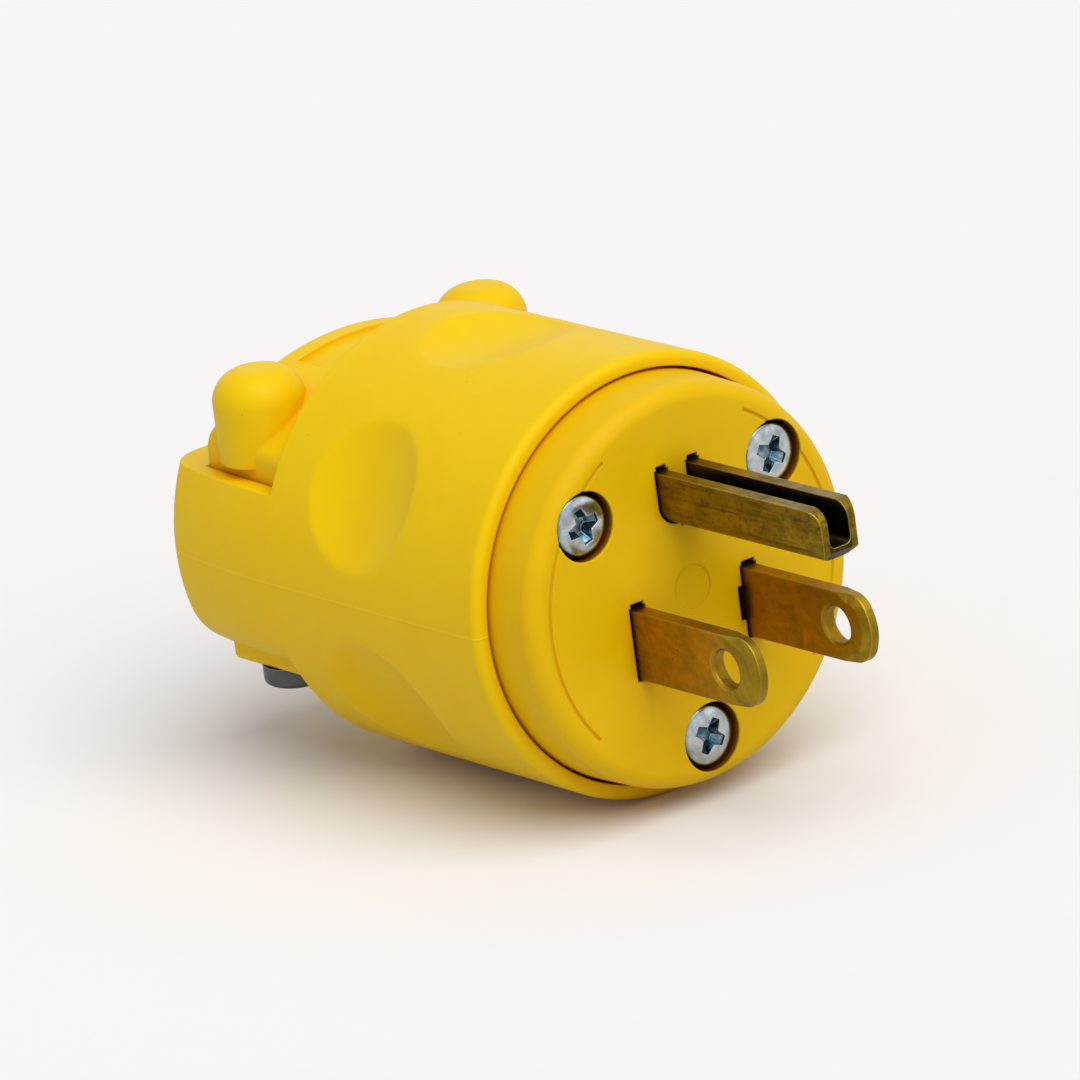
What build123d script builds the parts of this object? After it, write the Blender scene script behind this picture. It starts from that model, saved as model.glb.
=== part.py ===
from build123d import *
import os
from math import cos, radians, sin

# An industrial straight-blade plug with a grounding pin, taken apart into its real pieces.
# Millimetres, +Z up, +Y into the plug. The origin is the centre of the mating face,
# so the two blades and the ground pin stick out towards -Y.

# Clearances, each on one side
slide_gap = 0.3  # between moulded pieces that slide past each other
slot_gap = 0.2  # round a pin in its slot
hole_gap = 0.25  # round a screw that passes freely
thread_gap = 0.05  # round a screw in the hole that it threads into
head_gap = 0.3  # round a screw head in its counterbore
rim_gap = 0.15  # between the cover's side and the shell's mouth

# Blades
blade_pitch = 12.7
blade_width = 6.35
blade_thickness = 1.52
blade_reach = 16.4  # in front of the mating face
blade_drop = 3.2  # blade centres below the plug's axis
blade_tip_length = 2.4
blade_crown_width = 3.2  # the nearly straight middle of the tip
blade_crown_height = 0.35
blade_corner_radius = 2.2
blade_bevel_width = 0.9  # coined bevel round the tip, across the flat
blade_bevel_depth = 0.35
blade_hole_radius = 1.7
blade_hole_reach = 12.1  # hole centre in front of the mating face
blade_hole_bevel = 0.25

# Ground pin, folded from strip into a trough that is open on top
ground_rise = 11.89  # trough centre above the blade centres
ground_width = 4.75
ground_depth = 4.85
ground_wall = 1.2
ground_fold_radius = 1.75
ground_reach = 21.2
ground_nose_radius = 1.6
ground_nose_bevel = 0.75
ground_nose_taper = 1.3  # length over which the tip's sides draw in
ground_nose_inset = 0.45
ground_trough_back = 10.0  # the folded walls end here, behind the mating face

# What the pins have inside the plug
shoulder_width = 9.5
shoulder_length = 3.0
tab_width = 7.9
tab_corner = 1.0
tab_reach = 23.0  # behind the mating face

# Front cover
cover_draft = 0.45  # how much narrower the cover is at its face
cover_depth = 9.0
face_thickness = 3.5
skirt_thickness = 1.9
face_edge_radius = 1.6
ring_inset = 2.0  # inside the cover's edge
ring_width = 0.45
ring_depth = 0.3
ring_start = -40.0  # the engraved ring is two arcs, open at the top and at the bottom
ring_end = 60.0
slot_relief = 0.35  # height of the small notches at the slots' ends
slot_window_height = 3.2
slot_window_width = 0.5

# Face screws
face_screw_inset = 4.05  # screw axes inside the cover's edge
face_screws = {"right": 39.5, "left": 140.5, "bottom": 270.0}
face_screw_radius = 1.75
face_screw_length = 22.0
face_head_radius = 2.85
face_head_height = 1.9
face_head_rounding = 1.2
face_head_recess = 0.2  # top of the head below the mating face

# Retainer that carries the pins
retainer_thickness = 7.5
barrier_thickness = 1.6
barrier_length = 13.0
barrier_half_width = 9.0
barrier_height = 2.0  # middle of the cross wall between the blades and the ground pin
barrier_gap = 1.25  # between the upright wall and the lower boss

# Terminal screws and wire clamps
terminal_setback = 6.5  # screw axis behind the retainer
terminal_screw_radius = 2.05
terminal_screw_length = 5.6
terminal_head_radius = 3.6
terminal_head_height = 2.2
terminal_head_rounding = 0.9
wire_clamp_length = 8.0
wire_clamp_thickness = 0.9
wire_clamp_leg = 1.1

# Shell
body_front_radius = 20.0
body_draft = 0.15  # how much narrower the body is at its back
rim_depth = 5.5
rim_wall = 1.4
rim_edge_radius = 0.8
body_back = 35.0  # flat rear wall that the cord clamp stands behind
rear_wall = 2.2
chamber_wall = 3.0
chamber_edge_radius = 1.5
belly_length = 5.2  # how far the rounded lower end stands behind the flat wall
belly_depth = 15.4
belly_inset = 0.15  # narrow flat step where the belly leaves the body's side
boss_radius = 3.7
boss_hole_spare = 1.0
grip_count = 6
grip_setback = 23.0
grip_length = 13.8
grip_depth = 1.65
grip_round = 60.0  # radius of a grip's hollow across the body
grip_edge_radius = 3.0

# Neck, a trough behind the body that the cord lies in
neck_length = 16.8
neck_middle_draw = 0.4  # how far the barrel has drawn in half way
neck_end_draw = 1.55
neck_top = 8.0
neck_bottom = -9.55
neck_corner = 6.0
neck_end_rounding = 2.8
groove_radius = 8.9
groove_floor = 2.25
shoulder_top = -1.0
neck_wall = 3.15
pocket_draft = 0.8  # how much narrower the clamp's pocket is at its back
pad_length = 9.8
pad_width = 6.0
pad_height = 0.75
pad_edge_radius = 0.5

# Cord clamp and its screws
clamp_length = 11.6
clamp_lift = 4.0  # underside above the neck's shoulders
clamp_height = 13.25
crown_radius = 26.0
arch_wall = 3.85
clamp_edge_radius = 0.8
crown_side_radius = 1.5
dome_radius = 4.2
dome_rise = 0.95  # above the crown
dome_rounding = 3.0
dome_foot = 1.0  # where a dome starts, above the neck's wall
dome_cap = 3.0  # solid plastic over the screw hole
panel_half_width = 6.3
panel_start = 2.2  # behind the clamp's front
panel_length = 6.9
panel_depth = 0.4
rib_count = 3
rib_width = 1.2
rib_height = 0.7
rib_half_span = 7.4
clamp_screw_inset = 3.9  # screw axes inside the pocket's front wall
clamp_screw_setback = 7.0  # behind the flat rear wall
clamp_screw_radius = 1.75
clamp_head_radius = 3.1
clamp_head_height = 2.2
clamp_head_rounding = 1.15

# Cross recesses and screw ends
cross_width = 0.9
cross_taper = 8.0
cross_share = 0.6  # width of the cross, as a share of the head's
cross_depth_share = 0.6  # depth of the cross, as a share of the head's height
tip_bevel = 0.5

# Places that follow from the sizes above
body_back_radius = body_front_radius - body_draft
mouth_radius = body_front_radius - rim_wall
chamber_radius = body_front_radius - chamber_wall
cover_back_radius = mouth_radius - rim_gap
cover_front_radius = cover_back_radius - cover_draft
ring_radius = cover_front_radius - ring_inset
face_screw_circle = cover_front_radius - face_screw_inset
barrier_bottom = boss_radius + barrier_gap - face_screw_circle
neck_middle_radius = body_back_radius - neck_middle_draw
neck_end_radius = body_back_radius - neck_end_draw
pocket_front_half = body_back_radius - neck_wall
pocket_back_half = pocket_front_half - pocket_draft
clamp_screw_half_pitch = pocket_front_half - clamp_screw_inset
blade_height = -blade_drop
ground_height = blade_height + ground_rise
ground_bottom = ground_height - ground_width / 2
ground_top = ground_bottom + ground_depth
retainer_back = face_thickness + retainer_thickness
retainer_radius = cover_back_radius - skirt_thickness - slide_gap
terminal_depth = retainer_back + terminal_setback
counterbore_radius = face_head_radius + head_gap
counterbore_depth = face_head_height + face_head_recess
chamber_back = body_back - rear_wall
neck_end = body_back + neck_length
groove_height = neck_bottom + groove_floor + groove_radius
pad_bottom = neck_bottom - pad_height
clamp_front = body_back + slide_gap
clamp_back = clamp_front + clamp_length
pocket_back = clamp_back + slide_gap
clamp_bottom = shoulder_top + clamp_lift
crown_top = clamp_bottom + clamp_height
arch_height = crown_top - arch_wall - groove_radius
dome_top = crown_top + dome_rise
clamp_screw_depth = body_back + clamp_screw_setback
clamp_hole_top = dome_top - dome_cap
clamp_screw_spots = [(side * clamp_screw_half_pitch, clamp_screw_depth) for side in (-1, 1)]
face_screw_spots = {
    name: (face_screw_circle * cos(radians(angle)), face_screw_circle * sin(radians(angle)))
    for name, angle in face_screws.items()
}


def front_plane(depth):
    """Plane seen from the front, X to the right and Z up, at a depth behind the mating face."""
    return Plane.XZ.offset(-depth)


def trough_section(grow):
    """Section of the ground pin's folded strip, made thicker on every side."""
    top = ground_top + grow
    with BuildSketch(mode=Mode.PRIVATE) as section:
        bottom = ground_bottom - grow
        with Locations((0, (bottom + top) / 2)):
            Rectangle(ground_width + 2 * grow, top - bottom)
        fillet(section.vertices().group_by(Axis.Y)[0], ground_fold_radius + grow)
        with BuildSketch(mode=Mode.PRIVATE) as hollow:
            floor = ground_bottom + ground_wall + grow
            with Locations((0, (floor + top) / 2)):
                Rectangle(ground_width - 2 * ground_wall - 2 * grow, top - floor)
            fold = min(ground_fold_radius - ground_wall, ground_width / 2 - ground_wall) - grow
            fillet(hollow.vertices().group_by(Axis.Y)[0], fold)
        add(hollow.sketch, mode=Mode.SUBTRACT)
    return section.sketch


def screw(seat, radius, length, head_radius, head_height, head_rounding):
    """Pan-head screw with a cross recess. The seat's normal points out of the head."""
    along = Axis(seat.origin, seat.z_dir)
    with BuildPart() as body:
        with BuildSketch(seat):
            Circle(head_radius)
        extrude(amount=head_height)
        fillet(body.edges().sort_by(along)[-1], head_rounding)
        with BuildSketch(seat):
            Circle(radius)
        extrude(amount=-length)
        chamfer(body.edges().sort_by(along)[0], tip_bevel)
        with BuildSketch(seat.offset(head_height)):
            Rectangle(2 * cross_share * head_radius, cross_width)
            Rectangle(cross_width, 2 * cross_share * head_radius)
        extrude(amount=-cross_depth_share * head_height, taper=cross_taper, mode=Mode.SUBTRACT)
    return body.part


def blade(side):
    """Flat blade with a rounded, bevelled tip, a shoulder and a terminal tab."""
    half = blade_width / 2
    tip = -blade_reach
    with BuildPart() as body:
        with BuildSketch(Plane.YZ.offset(side * blade_pitch / 2)):
            with BuildLine():
                upper = Line(
                    (face_thickness, blade_height + half),
                    (tip + blade_tip_length, blade_height + half),
                )
                crown_start = (tip + blade_crown_height, blade_height + blade_crown_width / 2)
                crown_end = (tip + blade_crown_height, blade_height - blade_crown_width / 2)
                RadiusArc(upper @ 1, crown_start, -blade_corner_radius)
                ThreePointArc(crown_start, (tip, blade_height), crown_end)
                lower_start = (tip + blade_tip_length, blade_height - half)
                RadiusArc(crown_end, lower_start, -blade_corner_radius)
                lower = Line(lower_start, (face_thickness, blade_height - half))
                Line(lower @ 1, upper @ 0)
            make_face()
        extrude(amount=blade_thickness / 2, both=True)
        for flat in body.faces().filter_by(Axis.X):
            rim = flat.edges().filter_by(GeomType.CIRCLE)
            chamfer(rim, blade_bevel_width, blade_bevel_depth, reference=flat)
        with BuildSketch(Plane.YZ.offset(side * blade_pitch / 2)):
            with Locations((face_thickness + shoulder_length / 2, blade_height)):
                Rectangle(shoulder_length, shoulder_width)
            tab_length = tab_reach - face_thickness
            with Locations((face_thickness + tab_length / 2, blade_height)):
                tab = Rectangle(tab_length, tab_width)
            chamfer(tab.vertices().group_by(Axis.X)[-1], tab_corner)
        extrude(amount=blade_thickness / 2, both=True)
        with BuildSketch(Plane.YZ.offset(side * blade_pitch / 2)):
            with Locations((-blade_hole_reach, blade_height)):
                Circle(blade_hole_radius)
            with Locations((terminal_depth, blade_height)):
                Circle(terminal_screw_radius + thread_gap)
        extrude(amount=blade_thickness / 2, both=True, mode=Mode.SUBTRACT)
        hole_rims = body.edges().filter_by(lambda edge: edge.is_closed)
        chamfer(hole_rims.group_by(Axis.Y)[0], blade_hole_bevel)
    return body.part


os.makedirs("parts", exist_ok=True)

# Front cover: a moulded cup with the pin slots and the screw counterbores
with BuildPart() as front_cover:
    with BuildSketch(Plane.XY):
        with BuildLine():
            inner = cover_back_radius - skirt_thickness
            Polyline(
                (0, 0),
                (cover_front_radius, 0),
                (cover_back_radius, cover_depth),
                (inner, cover_depth),
                (inner, face_thickness),
                (0, face_thickness),
                close=True,
            )
        make_face()
    revolve(axis=Axis.Y)
    fillet(front_cover.edges().group_by(Axis.Y)[0], face_edge_radius)
    with BuildSketch(front_plane(0)):
        half_slot = blade_thickness / 2 + slot_gap
        half_height = blade_width / 2 + slot_gap
        for side in (-1, 1):
            with Locations((side * blade_pitch / 2, blade_height)):
                Rectangle(2 * half_slot, 2 * half_height)
            with Locations((side * blade_pitch / 2, blade_height + half_height)):
                Rectangle(blade_thickness, 2 * slot_relief)
            with Locations((side * (blade_pitch / 2 - half_slot), blade_height)):
                Rectangle(2 * slot_window_width, slot_window_height)
        add(trough_section(slot_gap))
        with Locations((0, ground_bottom - slot_gap)):
            Rectangle(2 * slot_relief, 2 * slot_relief)
        with Locations((0, ground_top + slot_gap)):
            with GridLocations(ground_width - ground_wall, 0, 2, 1):
                Rectangle(ground_wall, 2 * slot_relief)
    extrude(amount=-face_thickness, mode=Mode.SUBTRACT)
    with Locations(*[front_plane(0) * Pos(x, z) for x, z in face_screw_spots.values()]):
        CounterBoreHole(face_screw_radius + hole_gap, counterbore_radius, counterbore_depth)
    with BuildSketch(front_plane(0)):
        for start in (ring_start, 180 - ring_end):
            with BuildLine():
                CenterArc((0, 0), ring_radius, start, ring_end - ring_start)
                offset(amount=ring_width / 2)
            make_face()
        with Locations(*face_screw_spots.values()):
            Circle(counterbore_radius, mode=Mode.SUBTRACT)
    extrude(amount=-ring_depth, mode=Mode.SUBTRACT)
front_cover.part.label = "front_cover"
export_step(front_cover.part, "parts/front_cover.step")

# Blades
for name, side in (("blade_hot", 1), ("blade_neutral", -1)):
    piece = blade(side)
    piece.label = name
    export_step(piece, f"parts/{name}.step")

# Ground pin: its trough is cut to the tip's side view and plan before the tab is added
with BuildPart() as ground_pin:
    with BuildSketch(front_plane(-ground_reach)):
        add(trough_section(0))
    extrude(amount=-(ground_reach + ground_trough_back))
    with BuildSketch(Plane.YZ):
        with BuildLine():
            Polyline(
                (ground_trough_back, ground_bottom),
                (ground_trough_back, ground_top),
                (-ground_reach, ground_top),
                (-ground_reach, ground_bottom),
                close=True,
            )
        tip_view = make_face()
        fillet(tip_view.vertices().group_by(Axis.X)[0].sort_by(Axis.Y)[-1], ground_nose_radius)
        chamfer(tip_view.vertices().group_by(Axis.X)[0].sort_by(Axis.Y)[0], ground_nose_bevel)
    extrude(amount=ground_width, both=True, mode=Mode.INTERSECT)
    with BuildSketch(Plane.XY):
        with BuildLine():
            half = ground_width / 2
            Polyline(
                (-half, ground_trough_back),
                (-half, ground_nose_taper - ground_reach),
                (ground_nose_inset - half, -ground_reach),
                (half - ground_nose_inset, -ground_reach),
                (half, ground_nose_taper - ground_reach),
                (half, ground_trough_back),
                close=True,
            )
        make_face()
    extrude(amount=ground_top + ground_wall, mode=Mode.INTERSECT)
    with BuildSketch(Plane.XY.offset(ground_bottom)):
        with Locations((0, face_thickness + shoulder_length / 2)):
            Rectangle(shoulder_width, shoulder_length)
        with Locations((0, (face_thickness + tab_reach) / 2)):
            tab = Rectangle(tab_width, tab_reach - face_thickness)
        chamfer(tab.vertices().group_by(Axis.Y)[-1], tab_corner)
        with Locations((0, terminal_depth)):
            Circle(terminal_screw_radius + thread_gap, mode=Mode.SUBTRACT)
    extrude(amount=ground_wall)
ground_pin.part.label = "ground_pin"
export_step(ground_pin.part, "parts/ground_pin.step")

# Retainer: an insulating block in the cover's skirt, with barrier walls between the terminals
with BuildPart() as blade_retainer:
    with BuildSketch(front_plane(face_thickness)):
        Circle(retainer_radius)
        with Locations(*face_screw_spots.values()):
            Circle(face_screw_radius + hole_gap, mode=Mode.SUBTRACT)
        for angle in face_screws.values():
            with BuildSketch(Plane.XY.rotated((0, 0, angle)), mode=Mode.PRIVATE) as notch:
                with Locations((face_screw_circle + retainer_radius / 2, 0)):
                    Rectangle(retainer_radius, 2 * (face_screw_radius + hole_gap))
            add(notch.sketch, mode=Mode.SUBTRACT)
    extrude(amount=-retainer_thickness)
    with BuildSketch(front_plane(retainer_back)):
        with Locations((0, (barrier_bottom + barrier_height) / 2)):
            Rectangle(barrier_thickness, barrier_height - barrier_bottom)
        with Locations((0, barrier_height)):
            Rectangle(2 * barrier_half_width, barrier_thickness)
    extrude(amount=-barrier_length)
    with BuildSketch(front_plane(face_thickness)):
        for side in (-1, 1):
            with Locations((side * blade_pitch / 2, blade_height)):
                Rectangle(blade_thickness + 2 * slot_gap, tab_width + 2 * slot_gap)
        with Locations((0, ground_bottom + ground_wall / 2)):
            Rectangle(tab_width + 2 * slot_gap, ground_wall + 2 * slot_gap)
        with Locations((0, (ground_bottom + ground_top) / 2)):
            Rectangle(ground_width + 2 * slot_gap, ground_depth + 2 * slot_gap)
    extrude(amount=-retainer_thickness, mode=Mode.SUBTRACT)
    with BuildSketch(front_plane(face_thickness)):
        for side in (-1, 1):
            with Locations((side * blade_pitch / 2, blade_height)):
                Rectangle(blade_thickness + 2 * slot_gap, shoulder_width + 2 * slot_gap)
        with Locations((0, ground_bottom + ground_wall / 2)):
            Rectangle(shoulder_width + 2 * slot_gap, ground_wall + 2 * slot_gap)
    extrude(amount=-shoulder_length, mode=Mode.SUBTRACT)
blade_retainer.part.label = "blade_retainer"
export_step(blade_retainer.part, "parts/blade_retainer.step")

# Terminals: a wire clamp on the outer side of each tab, and the screw that presses it down
tab_face = blade_pitch / 2 + blade_thickness / 2
terminals = {
    "hot": Plane((tab_face, terminal_depth, blade_height), (0, 1, 0), (1, 0, 0)),
    "neutral": Plane((-tab_face, terminal_depth, blade_height), (0, 1, 0), (-1, 0, 0)),
    "ground": Plane((0, terminal_depth, ground_bottom + ground_wall), (0, 1, 0), (0, 0, 1)),
}
clamp_rise = wire_clamp_leg + wire_clamp_thickness
for name, tab_plane in terminals.items():
    with BuildPart() as wire_clamp:
        with BuildSketch(tab_plane):
            Rectangle(wire_clamp_length, tab_width)
        extrude(amount=clamp_rise)
        with BuildSketch(tab_plane):
            Rectangle(wire_clamp_length, tab_width - 2 * wire_clamp_thickness)
        extrude(amount=wire_clamp_leg, mode=Mode.SUBTRACT)
        with BuildSketch(tab_plane):
            Circle(terminal_screw_radius + hole_gap)
        extrude(amount=clamp_rise, mode=Mode.SUBTRACT)
    wire_clamp.part.label = f"wire_clamp_{name}"
    export_step(wire_clamp.part, f"parts/wire_clamp_{name}.step")
    piece = screw(
        tab_plane.offset(clamp_rise),
        terminal_screw_radius,
        terminal_screw_length,
        terminal_head_radius,
        terminal_head_height,
        terminal_head_rounding,
    )
    piece.label = f"terminal_screw_{name}"
    export_step(piece, f"parts/terminal_screw_{name}.step")

# Face screws: through the cover and the retainer into the shell's bosses
for name, (x, z) in face_screw_spots.items():
    piece = screw(
        Plane((x, counterbore_depth, z), (1, 0, 0), (0, -1, 0)),
        face_screw_radius,
        face_screw_length,
        face_head_radius,
        face_head_height,
        face_head_rounding,
    )
    piece.label = f"face_screw_{name}"
    export_step(piece, f"parts/face_screw_{name}.step")

# Outside of the neck: a tapering barrel cut flat above and below, rounded at its end
with BuildPart() as neck:
    with BuildSketch(Plane.XY):
        with BuildLine():
            barrel = ThreePointArc(
                (body_back_radius, body_back),
                (neck_middle_radius, body_back + neck_length / 2),
                (neck_end_radius, neck_end),
            )
            root = (body_back_radius - rear_wall, chamber_back)
            Polyline(barrel @ 1, (0, neck_end), (0, chamber_back), root, barrel @ 0)
        make_face()
    revolve(axis=Axis.Y)
    with BuildSketch(front_plane(chamber_back)):
        with Locations((0, (neck_bottom + neck_top) / 2)):
            Rectangle(2 * body_back_radius, neck_top - neck_bottom)
    extrude(amount=-(neck_length + rear_wall), mode=Mode.INTERSECT)
    lower_edges = neck.edges().filter_by(lambda edge: edge.center().Y > body_back + neck_length / 4)
    lower_edges = lower_edges.filter_by(lambda edge: edge.center().Y < neck_end - neck_length / 4)
    fillet(lower_edges.group_by(Axis.Z)[0], neck_corner)
    end_edges = neck.faces().sort_by(Axis.Y)[-1].edges().sort_by(Axis.Z)[:-1]
    fillet(end_edges, neck_end_rounding)

# Pads under the neck that the clamp screws' heads seat on
with BuildPart() as pads:
    with BuildSketch(Plane.XY.offset(pad_bottom)):
        with Locations(*clamp_screw_spots):
            Rectangle(pad_width, pad_length)
    extrude(amount=groove_floor)
    fillet(pads.edges().group_by(Axis.Z)[0], pad_edge_radius)

# One finger grip: a shallow hollow, rounder along the body than across it
with BuildPart() as grip:
    with BuildSketch(Plane.XY):
        surface = (body_front_radius + body_back_radius) / 2
        floor = surface - grip_depth
        grip_arc = (grip_length**2 / 4 + grip_depth**2) / (2 * grip_depth)
        with Locations((floor + grip_arc, grip_setback)):
            Circle(grip_arc)
        with Locations((surface, grip_setback)):
            Rectangle(4 * grip_depth, 2 * grip_length, mode=Mode.INTERSECT)
    revolve(axis=Axis((floor + grip_round, 0, 0), (0, 1, 0)))

# Shell: body, rounded belly and open neck, moulded in one piece
with BuildPart() as shell:
    with BuildSketch(Plane.XY):
        with BuildLine():
            belly = EllipticalCenterArc(
                (body_back_radius - belly_inset - belly_depth, body_back),
                belly_depth,
                belly_length,
                start_angle=0,
                arc_size=90,
            )
            Polyline(
                belly @ 1,
                (0, body_back + belly_length),
                (0, rim_depth),
                (body_front_radius, rim_depth),
                (body_back_radius, body_back),
                belly @ 0,
            )
        make_face()
    revolve(axis=Axis.Y)
    fillet(shell.edges().group_by(Axis.Y)[0], rim_edge_radius)
    for turn in range(grip_count):
        step = 360 / grip_count
        add(grip.part.rotate(Axis.Y, step * (turn + 0.5)), mode=Mode.SUBTRACT)
    fillet(shell.edges().filter_by(GeomType.BSPLINE), grip_edge_radius)
    with BuildSketch(front_plane(body_back)):
        with Locations((0, neck_top)):
            Rectangle(2 * body_back_radius, body_back_radius, align=(Align.CENTER, Align.MIN))
    extrude(amount=-belly_length, mode=Mode.SUBTRACT)
    add(neck.part)
    add(pads.part)
    with BuildSketch(Plane.XY):
        with BuildLine():
            Polyline(
                (0, rim_depth),
                (mouth_radius, rim_depth),
                (mouth_radius, cover_depth),
                (chamber_radius, cover_depth),
                (chamber_radius, chamber_back),
                (0, chamber_back),
                close=True,
            )
        chamber = make_face()
        rear_corner = chamber.vertices().group_by(Axis.Y)[-1].sort_by(Axis.X)[-1]
        fillet(rear_corner, chamber_edge_radius)
    revolve(axis=Axis.Y, mode=Mode.SUBTRACT)
    with BuildSketch(front_plane(retainer_back)):
        with Locations(*face_screw_spots.values()):
            Circle(boss_radius)
    extrude(amount=retainer_back - chamber_back - rear_wall / 2)
    with BuildSketch(front_plane(retainer_back)):
        with Locations(*face_screw_spots.values()):
            Circle(face_screw_radius + thread_gap)
    boss_hole = counterbore_depth + face_screw_length + boss_hole_spare - retainer_back
    extrude(amount=-boss_hole, mode=Mode.SUBTRACT)
    with BuildSketch(Plane.XY.offset(shoulder_top)):
        with BuildLine():
            Polyline(
                (-pocket_front_half, body_back),
                (pocket_front_half, body_back),
                (pocket_back_half, pocket_back),
                (-pocket_back_half, pocket_back),
                close=True,
            )
        make_face()
    extrude(amount=neck_top - shoulder_top, mode=Mode.SUBTRACT)
    with BuildSketch(front_plane(body_back)):
        with Locations((0, groove_height)):
            Circle(groove_radius)
            Rectangle(2 * groove_radius, 2 * groove_radius, align=(Align.CENTER, Align.MIN))
    extrude(amount=-neck_length, mode=Mode.SUBTRACT)
    with BuildSketch(front_plane(chamber_back)):
        with Locations((0, groove_height), (0, arch_height)):
            Circle(groove_radius)
        with Locations((0, (groove_height + arch_height) / 2)):
            Rectangle(2 * groove_radius, abs(arch_height - groove_height))
    extrude(amount=-rear_wall, mode=Mode.SUBTRACT)
    rib_pitch = clamp_length / rib_count
    for number in range(rib_count):
        rib_start = clamp_front + rib_pitch * (number + 0.5) - rib_width / 2
        with BuildSketch(front_plane(rib_start)):
            with Locations((0, groove_height)):
                Circle(groove_radius + groove_floor / 2)
                Circle(groove_radius - rib_height, mode=Mode.SUBTRACT)
            with Locations((0, groove_height)):
                Rectangle(2 * rib_half_span, 2 * groove_radius + groove_floor,
                          align=(Align.CENTER, Align.MAX), mode=Mode.INTERSECT)
        extrude(amount=-rib_width)
    with BuildSketch(Plane.XY.offset(pad_bottom)):
        with Locations(*clamp_screw_spots):
            Circle(clamp_screw_radius + hole_gap)
    extrude(amount=shoulder_top - pad_bottom, mode=Mode.SUBTRACT)
shell.part.label = "shell"
export_step(shell.part, "parts/shell.step")

# Cord clamp: a saddle over the cord, with a dome over each screw
with BuildPart() as cord_clamp:
    with BuildSketch(front_plane(clamp_front)):
        with Locations((0, clamp_bottom)):
            Rectangle(2 * pocket_front_half, clamp_height, align=(Align.CENTER, Align.MIN))
        with Locations((0, crown_top - crown_radius)):
            Circle(crown_radius, mode=Mode.INTERSECT)
        with Locations((0, arch_height)):
            Circle(groove_radius, mode=Mode.SUBTRACT)
        with Locations((0, (clamp_bottom + arch_height) / 2)):
            Rectangle(2 * groove_radius, arch_height - clamp_bottom, mode=Mode.SUBTRACT)
    extrude(amount=-clamp_length)
    with BuildSketch(Plane.XY.offset(clamp_bottom)):
        taper = (pocket_front_half - pocket_back_half) / (pocket_back - body_back)
        with BuildLine():
            front_half = pocket_front_half - slide_gap * (1 + taper)
            back_half = front_half - taper * clamp_length
            Polyline(
                (-front_half, clamp_front),
                (front_half, clamp_front),
                (back_half, clamp_back),
                (-back_half, clamp_back),
                close=True,
            )
        make_face()
    extrude(amount=clamp_height, mode=Mode.INTERSECT)
    crown = cord_clamp.faces().sort_by(Axis.Z)[-1]
    fillet(crown.edges().filter_by(lambda edge: abs(edge.center().X) > panel_half_width), crown_side_radius)
    fillet(cord_clamp.edges().group_by(Axis.Y)[-1].sort_by(Axis.Z)[-1], clamp_edge_radius)
    with BuildSketch(front_plane(clamp_front + panel_start)):
        with Locations((0, crown_top - crown_radius)):
            Circle(crown_radius + panel_depth)
            Circle(crown_radius - panel_depth, mode=Mode.SUBTRACT)
        with Locations((0, crown_top)):
            Rectangle(2 * panel_half_width, crown_radius, mode=Mode.INTERSECT)
    extrude(amount=-panel_length, mode=Mode.SUBTRACT)
    with BuildSketch(Plane.XY.offset(neck_top + dome_foot)):
        with Locations(*clamp_screw_spots):
            Circle(dome_radius)
    extrude(amount=dome_top - neck_top - dome_foot)
    fillet(cord_clamp.edges().group_by(Axis.Z)[-1], dome_rounding)
    with BuildSketch(Plane.XY.offset(clamp_bottom)):
        with Locations(*clamp_screw_spots):
            Circle(clamp_screw_radius + thread_gap)
    extrude(amount=clamp_hole_top - clamp_bottom, mode=Mode.SUBTRACT)
    for number in range(rib_count):
        rib_start = clamp_front + rib_pitch * (number + 0.5) - rib_width / 2
        with BuildSketch(front_plane(rib_start)):
            with Locations((0, arch_height)):
                Circle(groove_radius + arch_wall / 2)
                Circle(groove_radius - rib_height, mode=Mode.SUBTRACT)
            with Locations((0, arch_height)):
                Rectangle(2 * rib_half_span, 2 * groove_radius + arch_wall,
                          align=(Align.CENTER, Align.MIN), mode=Mode.INTERSECT)
        extrude(amount=-rib_width)
cord_clamp.part.label = "cord_clamp"
export_step(cord_clamp.part, "parts/cord_clamp.step")

# Clamp screws: up through the neck's shoulders into the domes
for name, (x, y) in zip(("left", "right"), clamp_screw_spots):
    piece = screw(
        Plane((x, y, pad_bottom), (1, 0, 0), (0, 0, -1)),
        clamp_screw_radius,
        clamp_hole_top - 2 * tip_bevel - pad_bottom,
        clamp_head_radius,
        clamp_head_height,
        clamp_head_rounding,
    )
    piece.label = f"clamp_screw_{name}"
    export_step(piece, f"parts/clamp_screw_{name}.step")
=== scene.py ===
from math import asin, atan2, cos, degrees, pi, radians, sin, sqrt

import bmesh
import bpy
from bpy.props import FloatProperty, FloatVectorProperty, IntProperty, PointerProperty
from mathutils import Matrix, Vector


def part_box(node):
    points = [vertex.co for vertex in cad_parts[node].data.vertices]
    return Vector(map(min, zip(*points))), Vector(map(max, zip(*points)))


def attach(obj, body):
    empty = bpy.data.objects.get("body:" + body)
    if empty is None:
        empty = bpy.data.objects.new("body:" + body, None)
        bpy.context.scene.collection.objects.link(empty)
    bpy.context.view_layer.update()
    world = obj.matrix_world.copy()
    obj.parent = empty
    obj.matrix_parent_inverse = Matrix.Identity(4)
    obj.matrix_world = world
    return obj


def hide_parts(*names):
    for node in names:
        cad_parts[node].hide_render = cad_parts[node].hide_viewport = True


bl_info = {
    "name": "Industrial plug",
    "version": (1, 0, 0),
    "blender": (4, 5, 0),
    "location": "3D View > Sidebar > Plug",
    "description": "Builds the visible pieces of an industrial plug round its packed model",
    "category": "Object",
}

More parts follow.
